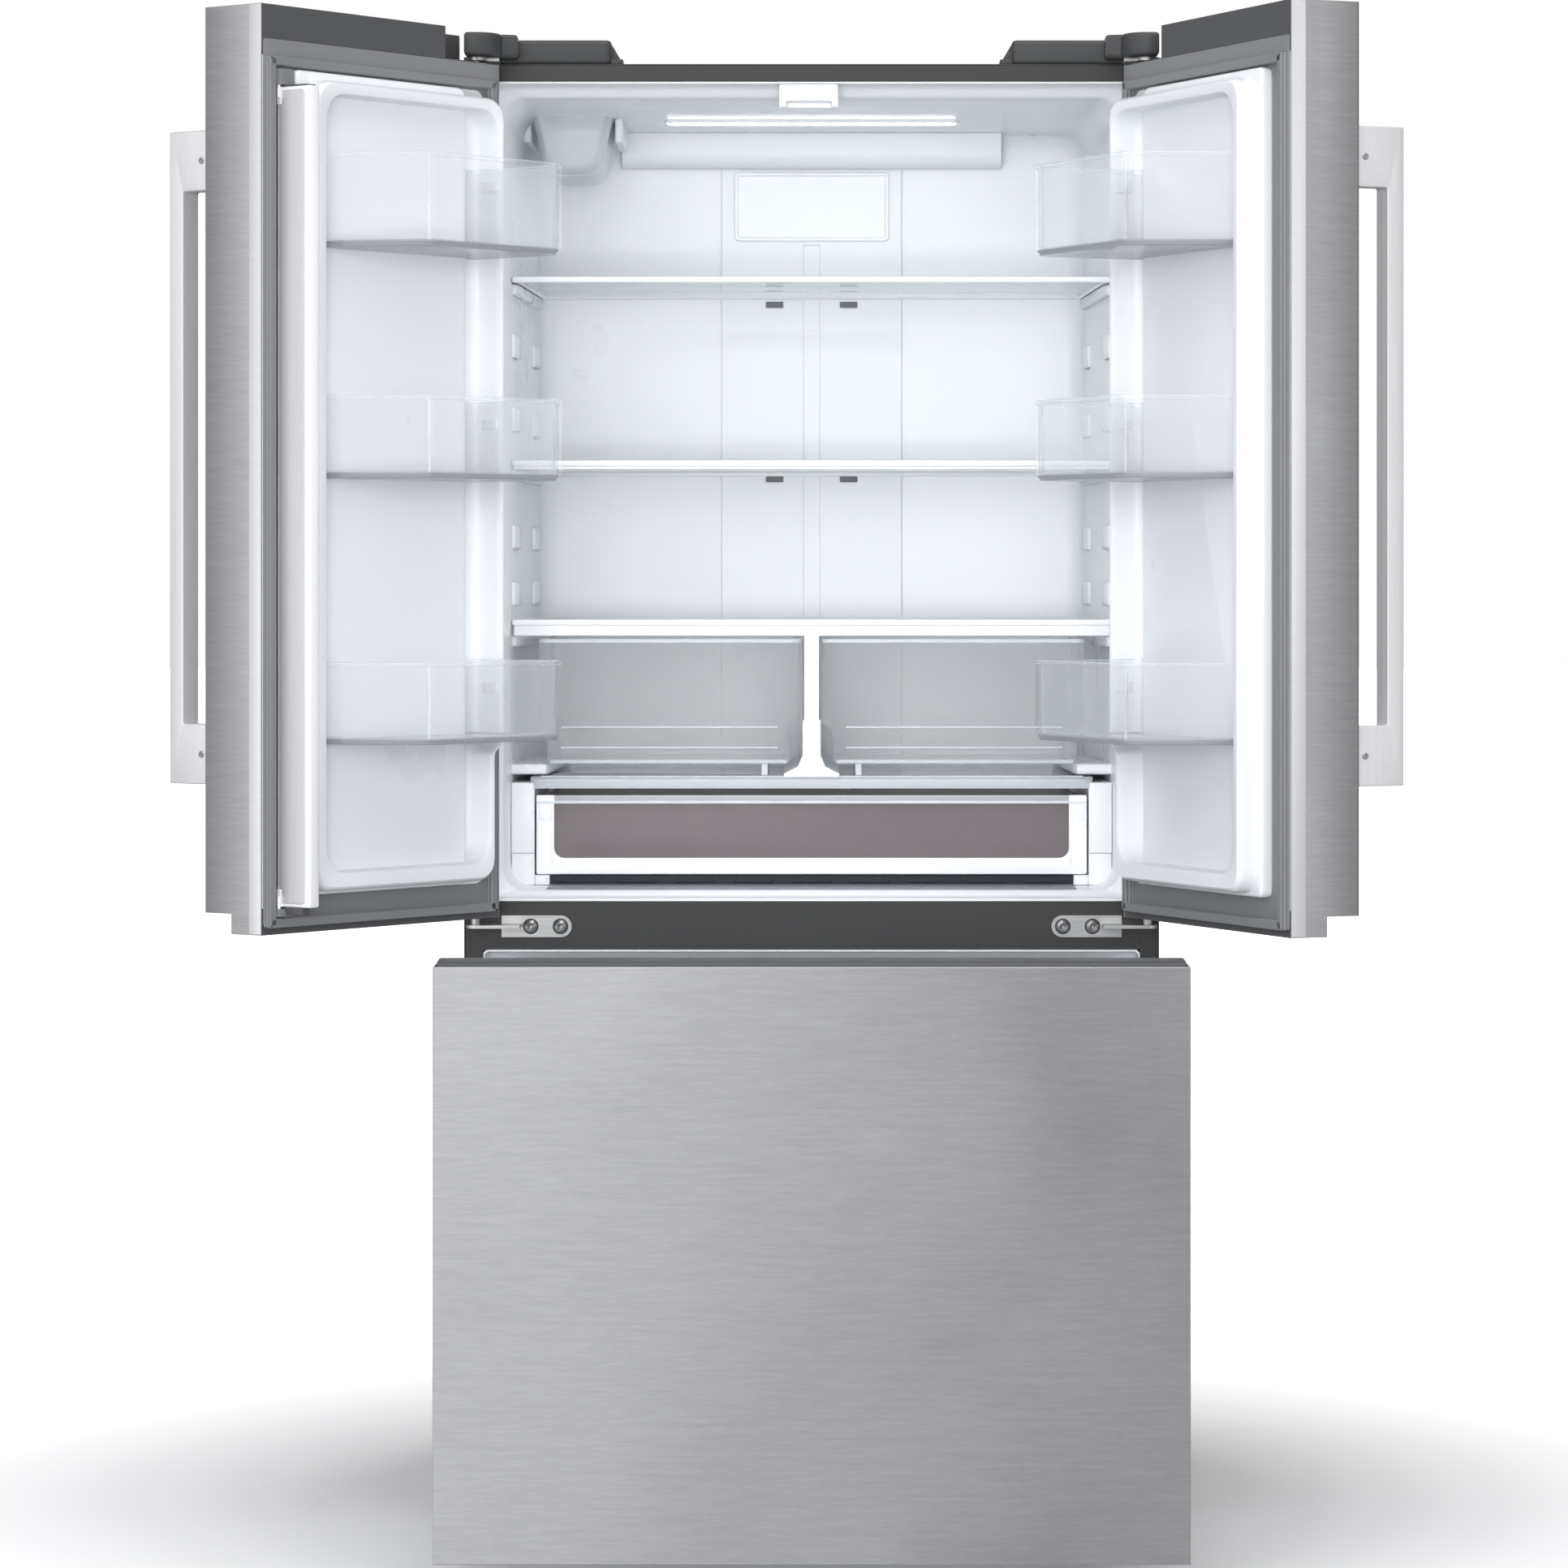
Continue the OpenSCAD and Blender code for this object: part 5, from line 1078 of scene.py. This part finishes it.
# Centre seal of the left door. A white insulated bar carries a steel face plate for the gaskets,
# with dark end caps, and turns on pins in two brackets at the door's edge.
white_seal = grained("white_seal_plastic", (0.86, 0.87, 0.88), 0.35, scale=500, bump=0.05, spread=0.02,
                     wear=0.1)
face_steel = metal("face_plate_steel", (0.70, 0.69, 0.715), 0.45, 900, UPRIGHT, bump=0.04, contrast=0.03,
                   metallic=0.5)
seal_low, seal_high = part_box("mullion_body")
z0, z1 = seal_low.z + 0.009, seal_high.z - 0.009
section = rounded([(0.3935, 0.0548), (0.3752, 0.0548), (0.3752, 0.0048), (0.3935, 0.0048)],
                  [0.0030, 0.0050, 0.0030, 0.0026], 4)
pin = Vector((0.39675, 0.01075))
bar_parts = [slab(section, z0, z1, 0.0024)]
for z in (z0 - 0.0085, z1 - 0.012):
    bar_parts.append(lathe([(0.0001, 0), (0.0019, 0), (0.0019, 0.0205), (0.0001, 0.0205)],
                           (pin.x, pin.y, z), (0, 0, 1),
                           14))
    end = z0 if z < z0 else z1 - 0.020
    bar_parts.append(bar((0.392, 0.0056, end), (0.3950, 0.0132, end + 0.020), 0.0006))
piece("centre_seal_bar", solid("centre_seal_bar", *bar_parts, where=places["left"]), white_seal, "mullion",
      "white_trim", "mullion_body")
plate = slab(rounded([(0.0475, z1 - 0.004), (0.0095, z1 - 0.004), (0.0095, z0 + 0.004),
                      (0.0475, z0 + 0.004)],
                     0.0042, 5), 0.3930, 0.3947, 0.0005, along=0)
piece("centre_seal_face", solid("centre_seal_face", plate, where=places["left"]), face_steel, "mullion",
      "grey_metal", "mullion_face")
caps = [bar((0.3765, 0.0080, z1 - 0.0005), (0.3925, 0.0490, z1 + 0.0016), 0.0005),
        bar((0.3790, 0.0175, z0 - 0.0080), (0.3930, 0.0425, z0 + 0.0002), 0.0008)]
piece("centre_seal_caps", solid("centre_seal_caps", *caps, where=places["left"]), cap_plastic, "mullion",
      "dark_plastic")
dress("mullion_brackets", gasket_rubber, 0.0012)


# Freezer drawer front. A folded stainless pan, brushed level, is closed at the top by a dark
# moulded cap with a full width grip pocket; behind it are the white liner and the gasket.
drawer_steel = metal("drawer_steel", (0.60, 0.60, 0.605), 0.36, 900, LEVEL, bump=0.10, contrast=0.07,
                     crown=((1.0, 0.0, 0.0), 0.0, 0.41, 0.04))
dress("drawer_skin", drawer_steel, 0.0015)
dress("drawer_cap", cap_plastic, 0.0015)
dress("drawer_liner", white_liner, 0.004)
gasket_low, gasket_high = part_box("drawer_gasket")
path = rounded_rect((gasket_low.x, gasket_low.z), (gasket_high.x, gasket_high.z), 0.003, 3)
bellows = loft([stand(inset(path, d), gasket_low.y + v - 0.0008, 1) for d, v in profile], around=True)
piece("drawer_gasket_ring", solid("drawer_gasket_ring", bellows), gasket_rubber, "freezer_drawer", "gasket",
      "drawer_gasket")


# Freezer basket, upper tray and slides. The basket and tray are moulded in white plastic; the
# slide members are roll formed zinc plated steel and run inside one another.
freezer_white = grained("freezer_white_plastic", (0.82, 0.85, 0.88), 0.36, scale=380, bump=0.06,
                        spread=0.03,
                        wear=0.2)
dress("freezer_basket", freezer_white, 0.0011)
dress("freezer_tray", freezer_white, 0.0011)
for node in ("freezer_rails", "slide_members", "drawer_runners"):
    dress(node, zinc, 0.0006)


# Cooling parts. A black enamelled compressor stands behind the cabinet foot beside the condenser
# and its fan; the evaporator and its fan hang behind the freezer's back cover.
enamel = grained("black_enamel", (0.018, 0.018, 0.02), 0.35, scale=500, bump=0.1, spread=0.2, wear=0.4,
                 coat_weight=0.3, coat_roughness=0.2)
coil_metal = metal("coil_aluminium", (0.70, 0.71, 0.72), 0.32, 700, (1.0, 0.05, 1.0), bump=0.15,
                   contrast=0.1)
dress("compressor", enamel, 0.0015)
dress("condenser", coil_metal, 0.0003)
dress("evaporator", coil_metal, 0.0003)
dress("evaporator_fan", nylon, 0.0004)
dress("condenser_fan", nylon, 0.0004)
